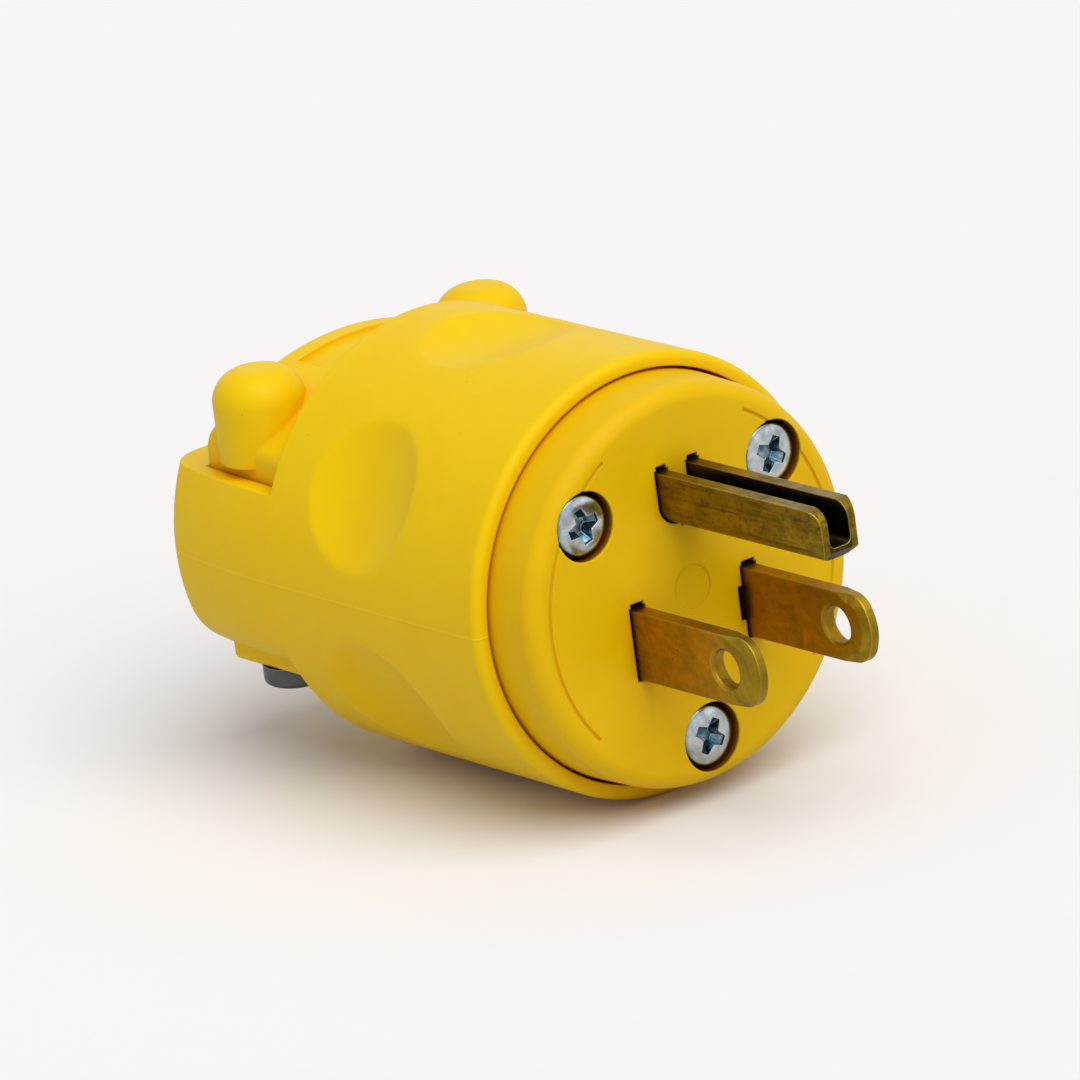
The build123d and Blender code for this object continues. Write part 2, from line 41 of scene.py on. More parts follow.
# The frame: +Y into the plug, +Z up through the ground pin, origin in the mating face.
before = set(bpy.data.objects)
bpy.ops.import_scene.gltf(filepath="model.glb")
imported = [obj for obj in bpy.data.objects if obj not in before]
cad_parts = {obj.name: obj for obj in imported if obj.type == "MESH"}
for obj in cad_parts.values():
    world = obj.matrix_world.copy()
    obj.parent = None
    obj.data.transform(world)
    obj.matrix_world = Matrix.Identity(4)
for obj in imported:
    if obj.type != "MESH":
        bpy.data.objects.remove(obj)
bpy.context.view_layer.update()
MM = 0.001

# Places read from the CAD nodes, in millimetres
SHELL_BOX = [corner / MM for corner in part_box("shell")]
COVER_BOX = [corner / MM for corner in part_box("front_cover")]
BLADE_BOX = [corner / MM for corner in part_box("blade_hot")]
GROUND_BOX = [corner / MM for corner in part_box("ground_pin")]
FACE_SCREWS = ("face_screw_right", "face_screw_left", "face_screw_bottom")
CLAMP_SCREWS = ("clamp_screw_left", "clamp_screw_right")
HIDDEN_ZINC = (
    "wire_clamp_hot",
    "wire_clamp_neutral",
    "wire_clamp_ground",
    "terminal_screw_hot",
    "terminal_screw_neutral",
    "terminal_screw_ground",
)

# Shell
RIM_DEPTH = 5.5
MOUTH_RADIUS = 18.6
COVER_DEPTH = 9.0
CHAMBER_RADIUS = 17.0
CHAMBER_BACK = 32.8
CHAMBER_EDGE = 1.5
BODY_BACK = 35.0
BACK_RADIUS = 19.85
GRIPPED_FROM_RADIUS = 19.4
BELLY_INSET = 0.15
BELLY_DEPTH = 15.4
BELLY_LENGTH = 5.2
BOSS_RADIUS = 3.7
BOSS_START = 11.0
BOSS_ROOT = 33.9
BOSS_HOLE_RADIUS = 1.8
BOSS_HOLE_END = 25.1
NECK_MIDDLE_RADIUS = 19.45
NECK_END_RADIUS = 18.3
NECK_TOP = 8.0
NECK_BOTTOM = -9.55
NECK_ROOT = 1.5
SHOULDER_TOP = -1.0
POCKET_FRONT_HALF = 16.7
POCKET_BACK_HALF = 15.9
POCKET_BACK = 47.2
GROOVE_RADIUS = 8.9
GROOVE_HEIGHT = 1.6
PAD_BOTTOM = -10.3
PAD_HALF_WIDTH = 3.0
PAD_HALF_LENGTH = 4.9
PAD_EDGE = 0.5
PAD_ROOT = -8.05
SCREW_SPOTS = ((-12.8, 42.0), (12.8, 42.0))
SCREW_PASSAGE_RADIUS = 2.0

# Screws
SHANK_RADIUS = 1.75
FACE_SHANK_LENGTH = 22.0
CLAMP_SHANK_LENGTH = 23.5
CLAMP_HEAD_RADIUS = 3.1
CLAMP_HEAD_HEIGHT = 2.2
FACE_SPINS = (30.0, -15.0, 32.0)
CLAMP_SPINS = (20.0, 65.0)

# Cord clamp
CLAMP_FRONT = 35.3
CLAMP_BACK = 46.9
CLAMP_BOTTOM = 3.0
CROWN_TOP = 16.25
ARCH_HEIGHT = 3.5
CLAMP_FRONT_HALF = 16.38
CLAMP_BACK_HALF = 15.62
DOME_FOOT = 9.0
DOME_TOP = 17.2
THREAD_RADIUS = 1.8
THREAD_END = 14.2
PANEL_START = 37.5
PANEL_END = 44.4
RIB_STARTS = (36.633, 40.5, 44.367)
RIB_WIDTH = 1.2
RIB_HEIGHT = 0.7
RIB_ROOT = 1.1

# Cover and pins
FACE_RADIUS = 18.0
COVER_INNER_RADIUS = 16.55
FACE_THICKNESS = 3.5
BLADE_PITCH = 12.7
BLADE_THICKNESS = 1.52
BLADE_HALF = 3.175
BLADE_HEIGHT = -3.2
BLADE_HOLE_DEPTH = -12.1
BLADE_EDGE = 0.16
COIN_LENGTH = 3.8
COIN_FADE = 1.4
COIN_DEPTH = 0.35
TIP_CORNER_DEPTH = 2.459
TIP_CORNER_HEIGHT = 0.976
TIP_CORNER_RADIUS = 2.2
TIP_CROWN_RADIUS = 3.832
SLOT_GAP = 0.2
NOTCH_DEPTH = 0.35
SIDE_NOTCH_DEPTH = 0.5
SIDE_NOTCH_HALF = 1.6
GROUND_HALF = 2.375
GROUND_WALL = 1.2
NOSE_RADIUS = 1.6
NOSE_BEVEL = 0.75
NOSE_HALF = 1.925
NOSE_TAPER = 1.661
FOLD_RADIUS = 1.75
TAB_END = 23.0
TAB_HALF = 3.95
TAB_CHAMFER = 1.0
SHOULDER_END = 6.5
SHOULDER_HALF = 4.75
TERMINAL_DEPTH = 17.5
TERMINAL_HOLE = 2.1
GATE_DEPTH = 0.09
FACE_SCREW_CIRCLE = 13.95
FACE_SCREW_ANGLES = (39.5, 140.5, 270.0)
COUNTERBORE_RADIUS = 3.15
COUNTERBORE_DEPTH = 2.1

# Stage: half the floor's width, and the point that the camera looks at
FLOOR_HALF = 4000.0
AIM = Vector((-15.841, 0.0, 9.285))


# Shapes, in millimetres


def at_front(a, b, depth):
    """An outline seen from the front: a to the right, b up, depth into the plug."""
    return a, depth, b


def at_top(a, b, height):
    """An outline seen from above: a to the right, b into the plug."""
    return a, b, height


def from_front(point):
    """Right, up and depth of a point."""
    return point[0], point[2], point[1]


def from_top(point):
    """Right, depth and height of a point."""
    return point[0], point[1], point[2]


def at_side(a, b, across):
    """An outline seen from the side: a into the plug, b up."""
    return across, a, b


def arc(centre, radius, start, end, count):
    """Points on an arc between two angles in degrees, both ends included."""
    angles = [radians(start + (end - start) * number / count) for number in range(count + 1)]
    return [(centre[0] + radius * cos(a), centre[1] + radius * sin(a)) for a in angles]


def spaced(start, end, count):
    """Points on a straight line, without the last one."""
    return [
        tuple(a + (b - a) * number / count for a, b in zip(start, end)) for number in range(count)
    ]


def solid(name, points, faces):
    """A mesh object from points in millimetres, welded, with its faces turned outwards."""
    mesh = bpy.data.meshes.new(name)
    mesh.from_pydata([Vector(point) * MM for point in points], [], faces)
    work = bmesh.new()
    work.from_mesh(mesh)
    bmesh.ops.remove_doubles(work, verts=work.verts, dist=0.0002 * MM)
    bmesh.ops.recalc_face_normals(work, faces=work.faces)
    if work.calc_volume(signed=True) < 0:
        bmesh.ops.reverse_faces(work, faces=work.faces)
    work.to_mesh(mesh)
    work.free()
    made = bpy.data.objects.new(name, mesh)
    bpy.context.scene.collection.objects.link(made)
    return made


def lofted(name, loops):
    """A solid through loops of equally many points, closed by a flat cap at each end."""
    count = len(loops[0])
    points = [point for loop in loops for point in loop]
    faces = [tuple(range(count)), tuple(range(len(points) - count, len(points)))]
    for row in range(len(loops) - 1):
        for column in range(count):
            after = (column + 1) % count
            lower, upper = row * count, (row + 1) * count
            faces.append((lower + column, lower + after, upper + after, upper + column))
    return solid(name, points, faces)


def prism(name, outline, start, end, place):
    """A solid of one outline between two depths."""
    return lofted(name, [[place(a, b, depth) for a, b in outline] for depth in (start, end)])


def turned(name, profile, segments, place, centre=(0, 0), shape=None):
    """A solid turned from (radius, depth) points between two poles."""
    points, rings = [], []
    for radius, depth in profile:
        steps = segments if radius > 0 else 1
        rings.append(range(len(points), len(points) + steps))
        for number in range(steps):
            angle = 2 * pi * number / segments
            reach = shape(radius, depth, angle) if shape else radius
            a, b = centre[0] + reach * cos(angle), centre[1] + reach * sin(angle)
            points.append(place(a, b, depth))
    faces = []
    for lower, upper in zip(rings, rings[1:]):
        for number in range(segments):
            after = (number + 1) % segments
            around = [lower[number % len(lower)], lower[after % len(lower)]]
            around += [upper[after % len(upper)], upper[number % len(upper)]]
            faces.append(tuple(dict.fromkeys(around)))
    return solid(name, points, faces)


def block(name, low, high):
    """A box between two corners."""
    outline = [(low[0], low[1]), (high[0], low[1]), (high[0], high[1]), (low[0], high[1])]
    return prism(name, outline, low[2], high[2], at_top)


def rod(name, radius, start, end, place, centre, segments=64):
    """A plain cylinder."""
    profile = [(0, start), (radius, start), (radius, end), (0, end)]
    return turned(name, profile, segments, place, centre)


def volume(mesh):
    """Enclosed volume of a closed mesh."""
    work = bmesh.new()
    work.from_mesh(mesh)
    value = work.calc_volume(signed=True)
    work.free()
    return value


def carve(piece, tool, operation="DIFFERENCE"):
    """Cuts, joins or intersects a closed piece with a closed tool, and removes the tool."""
    before = volume(piece.data)
    for solver in ("MANIFOLD", "EXACT"):
        modifier = piece.modifiers.new("Carve", "BOOLEAN")
        modifier.operation = operation
        modifier.solver = solver
        modifier.object = tool
        graph = bpy.context.evaluated_depsgraph_get()
        baked = bpy.data.meshes.new_from_object(piece.evaluated_get(graph))
        piece.modifiers.remove(modifier)
        after = volume(baked)
        moved = after - before if operation == "UNION" else before - after
        if len(baked.polygons) and moved > 1e-14:
            break
    else:
        raise RuntimeError(f"{tool.name} doesn't change {piece.name}")
    piece.data = baked
    bpy.data.objects.remove(tool)


def smooth(piece, sharp_angle=32.0, weld=0.004):
    """Welds slivers, shades the piece smooth up to an angle and weights normals by area."""
    work = bmesh.new()
    work.from_mesh(piece.data)
    bmesh.ops.remove_doubles(work, verts=work.verts, dist=weld * MM)
    bmesh.ops.dissolve_degenerate(work, edges=work.edges, dist=weld * MM)
    work.to_mesh(piece.data)
    work.free()
    piece.data.shade_smooth()
    piece.data.set_sharp_from_angle(angle=radians(sharp_angle))
    modifier = piece.modifiers.new("Weighted normals", "WEIGHTED_NORMAL")
    modifier.keep_sharp = True
    graph = bpy.context.evaluated_depsgraph_get()
    baked = bpy.data.meshes.new_from_object(piece.evaluated_get(graph))
    piece.modifiers.remove(modifier)
    piece.data = baked
    piece.data.name = piece.name


def hand_over(piece, surface, slot, *nodes):
    """Gives a finished piece its material and its place in the frame."""
    piece.data.materials.clear()
    piece.data.materials.append(surface)
    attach(piece, "root")
    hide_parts(*nodes)


# Materials

# Inputs by number. Map range: value, low, high, and what low and high become.
# Noise: 0 place, 2 scale, 3 detail, 4 roughness, 8 distortion. Mix: 0 share, 6 and 7 colours.
RANGE = "ShaderNodeMapRange"
NOISE = "ShaderNodeTexNoise"
MIX = "ShaderNodeMix"
MATHS = "ShaderNodeMath"
VECTOR = "ShaderNodeVectorMath"
SEAM_HEIGHT = 0.3


def linear(code):
    """A colour written as sRGB hex, as linear red, green, blue and alpha."""
    values = [int(code[place : place + 2], 16) / 255 for place in (1, 3, 5)]
    return [v / 12.92 if v < 0.04045 else ((v + 0.055) / 1.055) ** 2.4 for v in values] + [1.0]


def add(tree, kind, inputs=None, output=0, **settings):
    """Adds a node, gives its inputs values or other nodes' outputs, and returns one output."""
    made = tree.nodes.new(kind)
    for key, value in settings.items():
        setattr(made, key, value)
    for key, value in (inputs or {}).items():
        if isinstance(value, bpy.types.NodeSocket):
            tree.links.new(value, made.inputs[key])
        else:
            made.inputs[key].default_value = value
    return made.outputs[output] if made.outputs else None


def start_material(name):
    """A bare material: its tree, its surface shader and its Object coordinates."""
    made = bpy.data.materials.new(name)
    made.use_nodes = True
    tree = made.node_tree
    tree.nodes.clear()
    shade = add(tree, "ShaderNodeBsdfPrincipled")
    add(tree, "ShaderNodeOutputMaterial", {"Surface": shade})
    return made, tree, shade.node, add(tree, "ShaderNodeTexCoord", output="Object")


def finish(tree, surface, tone, layers, rough, relief, normal):
    """Lays colours over a tone, each by its share, adds up the relief in millimetres, and
    joins colour, roughness and relief to the surface."""
    for share, layer in layers:
        tone = add(tree, MIX, {0: share, 6: tone, 7: layer}, 2, data_type="RGBA")
    height = 0.0
    for pattern, rise in relief:
        height = add(tree, MATHS, {0: pattern, 1: rise, 2: height}, operation="MULTIPLY_ADD")
    bump = {"Height": height, "Distance": MM, "Strength": 1.0, "Normal": normal}
    tree.links.new(tone, surface.inputs["Base Color"])
    tree.links.new(rough, surface.inputs["Roughness"])
    tree.links.new(add(tree, "ShaderNodeBump", bump), surface.inputs["Normal"])


def apart(tree, value, plane):
    """Distance of a coordinate from a plane that is given in millimetres."""
    gap = add(tree, MATHS, {0: value, 1: plane * MM}, operation="SUBTRACT")
    return add(tree, MATHS, {0: gap}, operation="ABSOLUTE")


def soft_edges(tree, radius):
    """Normal rounded over the edges, and how much of an edge there is."""
    rounded = add(tree, "ShaderNodeBevel", {"Radius": radius}, samples=6)
    plain = add(tree, "ShaderNodeNewGeometry", output="Normal")
    turn = add(tree, VECTOR, {0: rounded, 1: plain}, "Value", operation="DOT_PRODUCT")
    return rounded, add(tree, RANGE, {0: turn, 1: 0.99, 2: 0.86})


def hollows(tree, distance):
    """How deep in a crease a point lies, and how open it lies."""
    near = {"Distance": distance * MM}
    open_sky = add(tree, "ShaderNodeAmbientOcclusion", near, "AO", samples=6)
    return add(tree, MATHS, {0: 1.0, 1: open_sky}, operation="SUBTRACT"), open_sky


def specks(tree, place, size, radius, strength=1.0):
    """Rare round specks, one to a cell of a size in millimetres."""
    cells = add(tree, "ShaderNodeTexVoronoi", {"Vector": place, "Scale": 1 / (size * MM)})
    return add(tree, RANGE, {0: cells, 1: radius / size, 2: 0.6 * radius / size, 4: strength})


def moulded(name, colour, deep, light, seam, edge_radius):
    """Injection-moulded vinyl or nylon: satin, with softened moulded edges, a faint flow
    mottle, painted shade in creases as a deeper, more orange tone, painted dark red-brown
    shade in the face's holes, lighter open edges that are part wear and part painted
    highlight, a few grains of dirt and, on the body, the mould's parting line with a painted
    highlight along it."""
    made, tree, surface, place = start_material(name)
    x, y, z = add(tree, "ShaderNodeSeparateXYZ", {0: place}).node.outputs
    reach = {0: apart(tree, y, BODY_BACK), 1: 0.4 * MM, 2: 0.8 * MM, 3: 0.06 * MM}
    rounded, edge = soft_edges(tree, add(tree, RANGE, reach | {4: edge_radius * MM}))
    crease, open_sky = hollows(tree, 2.2)

    # Flow marks of 9 mm, sink marks of 7 mm, and the mould's texture, which is finer than
    # 0.1 mm and is drawn 0.35 mm coarse to show
    flow = add(tree, NOISE, {0: place, 2: 1 / (9.0 * MM), 3: 3.0, 4: 0.55, 8: 0.6})
    grain = add(tree, NOISE, {0: place, 2: 1 / (0.35 * MM), 3: 3.0})
    sink = add(tree, NOISE, {0: place, 2: 1 / (7.0 * MM), 3: 2.0})

    # Painted shade sits in the face's holes only: inside the rim's radius and within the cup's floor
    flat = add(tree, VECTOR, {0: place, 1: (1, 0, 1)}, operation="MULTIPLY")
    from_axis = add(tree, VECTOR, {0: flat}, "Value", operation="LENGTH")
    hole_shade = add(tree, RANGE, {0: crease, 1: 0.12, 2: 0.42, 4: 0.9})
    hole_shade = add(tree, RANGE, {0: from_axis, 1: 17.3 * MM, 2: 17.2 * MM, 4: hole_shade})
    hole_shade = add(tree, RANGE, {0: y, 1: 4.4 * MM, 2: 3.8 * MM, 4: hole_shade})
    hole_shade = add(tree, RANGE, {0: y, 1: 0.15 * MM, 2: 0.3 * MM, 4: hole_shade})
    # Open edges lighter: part wear, part painted highlight
    worn_and_highlit_edges = add(tree, RANGE, {0: edge, 4: add(tree, RANGE, {0: open_sky, 4: 0.5})})
    layers = [
        (add(tree, RANGE, {0: flow, 1: 0.35, 2: 0.7, 4: 0.14}), deep),
        # Painted shade: the deep tone in creases
        (add(tree, RANGE, {0: crease, 1: 0.15, 2: 0.7, 4: 0.7}), deep),
        # painted shade, dark red-brown, in the face's holes
        (hole_shade, linear("#561A08")),
        (worn_and_highlit_edges, light),
        (specks(tree, place, 3.1, 0.07, 0.55), linear("#6B4A12")),
    ]
    relief = [(grain, 0.0035), (sink, 0.05)]
    # The mould's parting line: a small ridge, and lighter along it, which is painted highlight
    if seam:
        line = {0: apart(tree, z, SEAM_HEIGHT), 1: 0.11 * MM, 2: 0.02 * MM}
        line = add(tree, RANGE, line)
        outside = {0: apart(tree, x, 0.0), 1: 17.0 * MM, 2: 17.6 * MM, 4: line}
        line = add(tree, RANGE, outside)
        relief.append((line, 0.035))
        layers.append((add(tree, RANGE, {0: line, 4: 0.3}), light))
    rough = add(tree, RANGE, {0: flow, 1: 0.3, 2: 0.7, 3: 0.36, 4: 0.44})
    rough = add(tree, MATHS, {0: grain, 1: 0.06, 2: rough}, operation="MULTIPLY_ADD")
    gloss = add(tree, RANGE, {0: edge, 2: 0.7, 3: 0.12, 4: 0.0})
    tree.links.new(gloss, surface.inputs["Specular IOR Level"])
    surface.inputs["IOR"].default_value = 1.5
    surface.inputs["Subsurface Weight"].default_value = 0.15
    surface.inputs["Subsurface Radius"].default_value = (1.0, 0.45, 0.06)
    surface.inputs["Subsurface Scale"].default_value = 1.8 * MM
    finish(tree, surface, colour, layers, rough, relief, rounded)
    return made


def brass_strip(colour, tarnish, brown):
    """Stamped brass strip: olive tarnish in blotches, most on the ground pin, a painted orange
    reflection of the cover on the blades near the face, scratches drawn along the pins, dark
    grains, edges worn bright."""
    made, tree, surface, place = start_material("brass strip")
    x, y, z = add(tree, "ShaderNodeSeparateXYZ", {0: place}).node.outputs
    rounded, edge = soft_edges(tree, 0.18 * MM)
    crease, open_sky = hollows(tree, 2.6)

    # Blotches of 3.2 mm, grains of 0.55 mm, and rolling scratches, which are drawn 0.28 mm
    # wide to show and are stretched 17 times along the pins
    blotch = add(tree, NOISE, {0: place, 2: 1 / (3.2 * MM), 3: 6.0, 4: 0.62, 8: 0.8})
    fine = add(tree, NOISE, {0: place, 2: 1 / (0.55 * MM), 3: 5.0, 4: 0.6})
    drawn = add(tree, VECTOR, {0: place, 1: (1.0, 0.06, 1.0)}, operation="MULTIPLY")
    along = add(tree, NOISE, {0: drawn, 2: 1 / (0.28 * MM), 3: 3.0, 4: 0.6})

    # The ground pin, which lies above the blades, is browner than they are
    ground = add(tree, RANGE, {0: z, 1: 3.0 * MM, 2: 5.0 * MM})
    # Painted reflection of the yellow cover: orange on the blades near the face
    cover_reflection = add(tree, RANGE, {0: y, 1: -14.0 * MM, 2: -8.0 * MM, 4: 0.7})
    cover_reflection = add(tree, RANGE, {0: ground, 3: cover_reflection, 4: 0.0})
    stain = add(tree, RANGE, {0: ground, 3: 0.6, 4: 1.0})
    stain = add(tree, RANGE, {0: blotch, 1: 0.36, 2: 0.64, 4: stain})
    grains = add(tree, RANGE, {0: ground, 3: 0.3, 4: 0.7})
    grains = add(tree, RANGE, {0: fine, 1: 0.52, 2: 0.74, 4: grains})
    streaks = add(tree, RANGE, {0: ground, 4: 0.6})
    streaks = add(tree, RANGE, {0: along, 1: 0.48, 2: 0.34, 4: streaks})
    worn = add(tree, RANGE, {0: edge, 4: add(tree, RANGE, {0: open_sky, 4: 0.7})})

    # The trough of the ground pin is in deep shadow, least at its front end
    inner = GROUND_HALF - GROUND_WALL
    tip, top = GROUND_BOX[0].y, GROUND_BOX[1].z
    trough = add(tree, RANGE, {0: y, 1: tip * MM, 2: (tip + 4) * MM, 3: 0.75, 4: 0.97})
    below = add(tree, RANGE, {0: z, 1: top * MM, 2: (top - 0.9) * MM, 3: 0.4})
    trough = add(tree, MATHS, {0: trough, 1: below}, operation="MULTIPLY")
    inside = {0: apart(tree, x, 0.0), 1: (inner + 0.12) * MM, 2: (inner + 0.02) * MM, 4: trough}
    layers = (
        # painted reflection of the cover
        (cover_reflection, linear("#B98018")),
        (stain, tarnish),
        (add(tree, RANGE, {0: ground, 4: 0.4}), tarnish),
        (grains, brown),
        (streaks, brown),
        (add(tree, RANGE, {0: along, 1: 0.56, 2: 0.72, 4: 0.4}), colour),
        (specks(tree, place, 1.1, 0.08), brown),
        (add(tree, RANGE, {0: crease, 1: 0.15, 2: 0.5, 4: 0.6}), brown),
        (add(tree, RANGE, inside), linear("#140703")),
        (worn, linear("#CDB651")),
    )
    rough = add(tree, RANGE, {0: blotch, 1: 0.3, 2: 0.7, 3: 0.26, 4: 0.42})
    rough = add(tree, MATHS, {0: fine, 1: 0.12, 2: rough}, operation="MULTIPLY_ADD")
    surface.inputs["Metallic"].default_value = 1.0
    relief = (along, 0.006), (fine, 0.006), (blotch, 0.02)
    finish(tree, surface, colour, layers, rough, relief, rounded)
    return made


def plated_steel(name, colour, shade, recess, roughness):
    """Plated steel screws, tumbled bright, with a cool cast from the plating's passivation, and
    painted shade in the cross recess and round the head's seat, cool-tinted on the zinc."""
    made, tree, surface, place = start_material(name)
    rounded, edge = soft_edges(tree, 0.12 * MM)
    crease = hollows(tree, 1.0)[0]

    # Clouds of 1.1 mm, and tumbling marks, which are drawn 0.16 mm wide to show
    cloud = add(tree, NOISE, {0: place, 2: 1 / (1.1 * MM), 3: 4.0, 4: 0.6, 8: 0.5})
    fine = add(tree, NOISE, {0: place, 2: 1 / (0.16 * MM), 3: 3.0})

    # The recess colour is painted shade on the cross's faces and in the creases round the head's
    # seat
    cross = add(tree, "ShaderNodeAttribute", output="Fac", attribute_name="recess")
    patch = add(tree, RANGE, {0: cloud, 1: 0.35, 2: 0.6, 3: 0.5})
    cross = add(tree, MATHS, {0: cross, 1: patch}, operation="MULTIPLY")
    gap = add(tree, RANGE, {0: crease, 1: 0.16, 2: 0.5})
    layers = (
        (add(tree, RANGE, {0: cloud, 1: 0.35, 2: 0.65}), shade),
        (add(tree, MATHS, {0: cross, 1: gap}, operation="MAXIMUM"), recess),
        (add(tree, RANGE, {0: edge, 4: 0.4}), linear("#F2F2F0")),
        (specks(tree, place, 0.9, 0.06), linear("#3A3F40")),
    )
    rough = add(tree, MATHS, {0: fine, 1: 0.12, 2: roughness}, operation="MULTIPLY_ADD")
    surface.inputs["Metallic"].default_value = 1.0
    finish(tree, surface, colour, layers, rough, ((fine, 0.003), (cloud, 0.02)), rounded)
    return made


def phenolic():
    """Dark compression-moulded insulating block, matt, with a fine flecked filler."""
    made, tree, surface, place = start_material("dark phenolic")
    rounded, edge = soft_edges(tree, 0.15 * MM)
    fleck = add(tree, NOISE, {0: place, 2: 1 / (0.5 * MM), 3: 5.0, 4: 0.65})
    layers = (
        (add(tree, RANGE, {0: fleck, 1: 0.55, 2: 0.7}), linear("#3A2F28")),
        (add(tree, RANGE, {0: edge, 4: 0.3}), linear("#4A4642")),
    )
    rough = add(tree, RANGE, {0: fleck, 1: 0.3, 2: 0.7, 3: 0.5, 4: 0.68})
    finish(tree, surface, linear("#1B1A19"), layers, rough, ((fleck, 0.006),), rounded)
    return made


def matt_floor(colour):
    """Seamless pale studio paper with a barely visible grain, a little greyer in the light
    that it throws back on the plug than to the camera."""
    made, tree, surface, place = start_material("studio paper")
    grain = add(tree, NOISE, {0: place, 2: 1 / (2.0 * MM), 3: 4.0})
    fibres = add(tree, RANGE, {0: grain, 1: 0.3, 2: 0.7, 4: 0.01})
    tone = {0: fibres, 6: colour, 7: linear("#D8D4D0")}
    tone = add(tree, MIX, tone, 2, data_type="RGBA")
    seen = add(tree, "ShaderNodeLightPath", output="Is Camera Ray")
    tone = {0: seen, 6: linear("#DAD8D7"), 7: tone}
    tree.links.new(add(tree, MIX, tone, 2, data_type="RGBA"), surface.inputs["Base Color"])
    surface.inputs["Roughness"].default_value = 1.0
    surface.inputs["Specular IOR Level"].default_value = 0.0
    return made


# Outlines


def neck_radius(depth):
    """Radius of the neck's barrel, on a curve through its root, middle and end."""
    root, end = BODY_BACK, SHELL_BOX[1].y
    share = (depth - root) / (end - root)
    first = BACK_RADIUS * (1 - share) * (1 - 2 * share)
    second = NECK_MIDDLE_RADIUS * 4 * share * (1 - share)
    return first + second + NECK_END_RADIUS * share * (2 * share - 1)


def neck_outline(radius, inset, corner_radius, step):
    """The neck's barrel, cut flat above and below, with rounded lower corners."""
    reach, corner = radius - inset, corner_radius - inset
    centre_z = NECK_BOTTOM + corner_radius
    centre_x = sqrt((reach - corner) ** 2 - centre_z**2)
    tangent = degrees(atan2(centre_z, centre_x))
    angles = [degrees(asin(NECK_TOP / reach))]
    angles += [step * number for number in range(20, -14, -1)] + [tangent]
    side = [(reach * cos(radians(a)), reach * sin(radians(a))) for a in angles]
    side += arc((centre_x, centre_z), corner, tangent, -90, 14)[1:]
    floor = spaced(side[-1], (-side[-1][0], side[-1][1]), 16)[1:]
    return side + floor + [(-a, b) for a, b in reversed(side)]


def trough_outline(grow):
    """Section of the ground pin's folded strip, made thicker on every side."""
    half = GROUND_HALF + grow
    bottom, top = GROUND_BOX[0].z - grow, GROUND_BOX[1].z + grow
    inner = GROUND_HALF - GROUND_WALL - grow
    floor = GROUND_BOX[0].z + GROUND_WALL + grow
    fold, crease = FOLD_RADIUS + grow, FOLD_RADIUS - GROUND_WALL - grow
    right = arc((half - fold, bottom + fold), fold, -90, 0, 12) + [(half, top), (inner, top)]
    right += arc((inner - crease, floor + crease), crease, 0, -90, 8)
    return right + [(-a, b) for a, b in reversed(right)]


def clamp_outline(half, crown_radius, side_radius, drop):
    """Section of the cord clamp: a crowned saddle with an arch for the cord."""
    reach = crown_radius - drop
    centre_z = CROWN_TOP - crown_radius
    corner_x = half - side_radius
    corner_z = centre_z + sqrt((reach - side_radius) ** 2 - corner_x**2)
    start = degrees(atan2(corner_z - centre_z, corner_x))
    right = [(GROOVE_RADIUS, CLAMP_BOTTOM), (half, CLAMP_BOTTOM)]
    right += arc((corner_x, corner_z), side_radius, 0, start, 10)
    crown = arc((0, centre_z), reach, start, 180 - start, 64)[1:-1]
    arch = arc((0, ARCH_HEIGHT), GROOVE_RADIUS, 180, 0, 64)
    return right + crown + [(-a, b) for a, b in reversed(right)] + arch


def tab_side():
    """Half outline of a pin's terminal tab and shoulder, as (depth, half width)."""
    return [
        (TAB_END, TAB_HALF - TAB_CHAMFER),
        (TAB_END - TAB_CHAMFER, TAB_HALF),
        (SHOULDER_END, TAB_HALF),
        (SHOULDER_END, SHOULDER_HALF),
        (FACE_THICKNESS, SHOULDER_HALF),
    ]


def blade_outline(bevel):
    """Side view of a blade as (depth, height, bevel width, outward depth, outward height)."""
    tip = BLADE_BOX[0].y
    coined = tip + COIN_LENGTH
    corner = (tip + TIP_CORNER_DEPTH, TIP_CORNER_HEIGHT)
    crown = (tip + TIP_CROWN_RADIUS, 0)
    upper = []
    for depth in (FACE_THICKNESS, 0.0, -3.5, -7.0, -10.5, coined):
        upper.append((depth, BLADE_HALF, BLADE_EDGE, 0, 1))
    for share in (0.3, 0.6, 0.85):
        width = BLADE_EDGE + (bevel - BLADE_EDGE) * share
        upper.append((coined - COIN_FADE * share, BLADE_HALF, width, 0, 1))
    for centre, radius, start, end, count in (
        (corner, TIP_CORNER_RADIUS, 91.5, 161.0, 14),
        (crown, TIP_CROWN_RADIUS, 156.5, 180.0, 8),
    ):
        for number in range(count + 1):
            a = radians(start + (end - start) * number / count)
            point = (centre[0] + radius * cos(a), centre[1] + radius * sin(a))
            upper.append((*point, bevel, cos(a), sin(a)))
    upper = [(depth, half, 0, 0, 0) for depth, half in tab_side()] + upper
    lower = [(a, -b, width, c, -d) for a, b, width, c, d in reversed(upper[:-1])]
    return upper + lower


# Settings


def size_setting(name, description, default):
    """A size in the settings, given in millimetres."""
    return FloatProperty(
        name=name,
        description=description,
        default=default * MM,
        min=0.0,
        unit="LENGTH",
        precision=5,
    )


def angle_setting(name, description, default):
    """An angle in the settings, given in degrees."""
    return FloatProperty(
        name=name, description=description, default=radians(default), subtype="ANGLE"
    )


def colour_setting(name, description, code):
    """A colour in the settings, given as sRGB hex."""
    return FloatVectorProperty(
        name=name,
        description=description,
        default=linear(code),
        size=4,
        min=0.0,
        max=1.0,
        subtype="COLOR",
    )


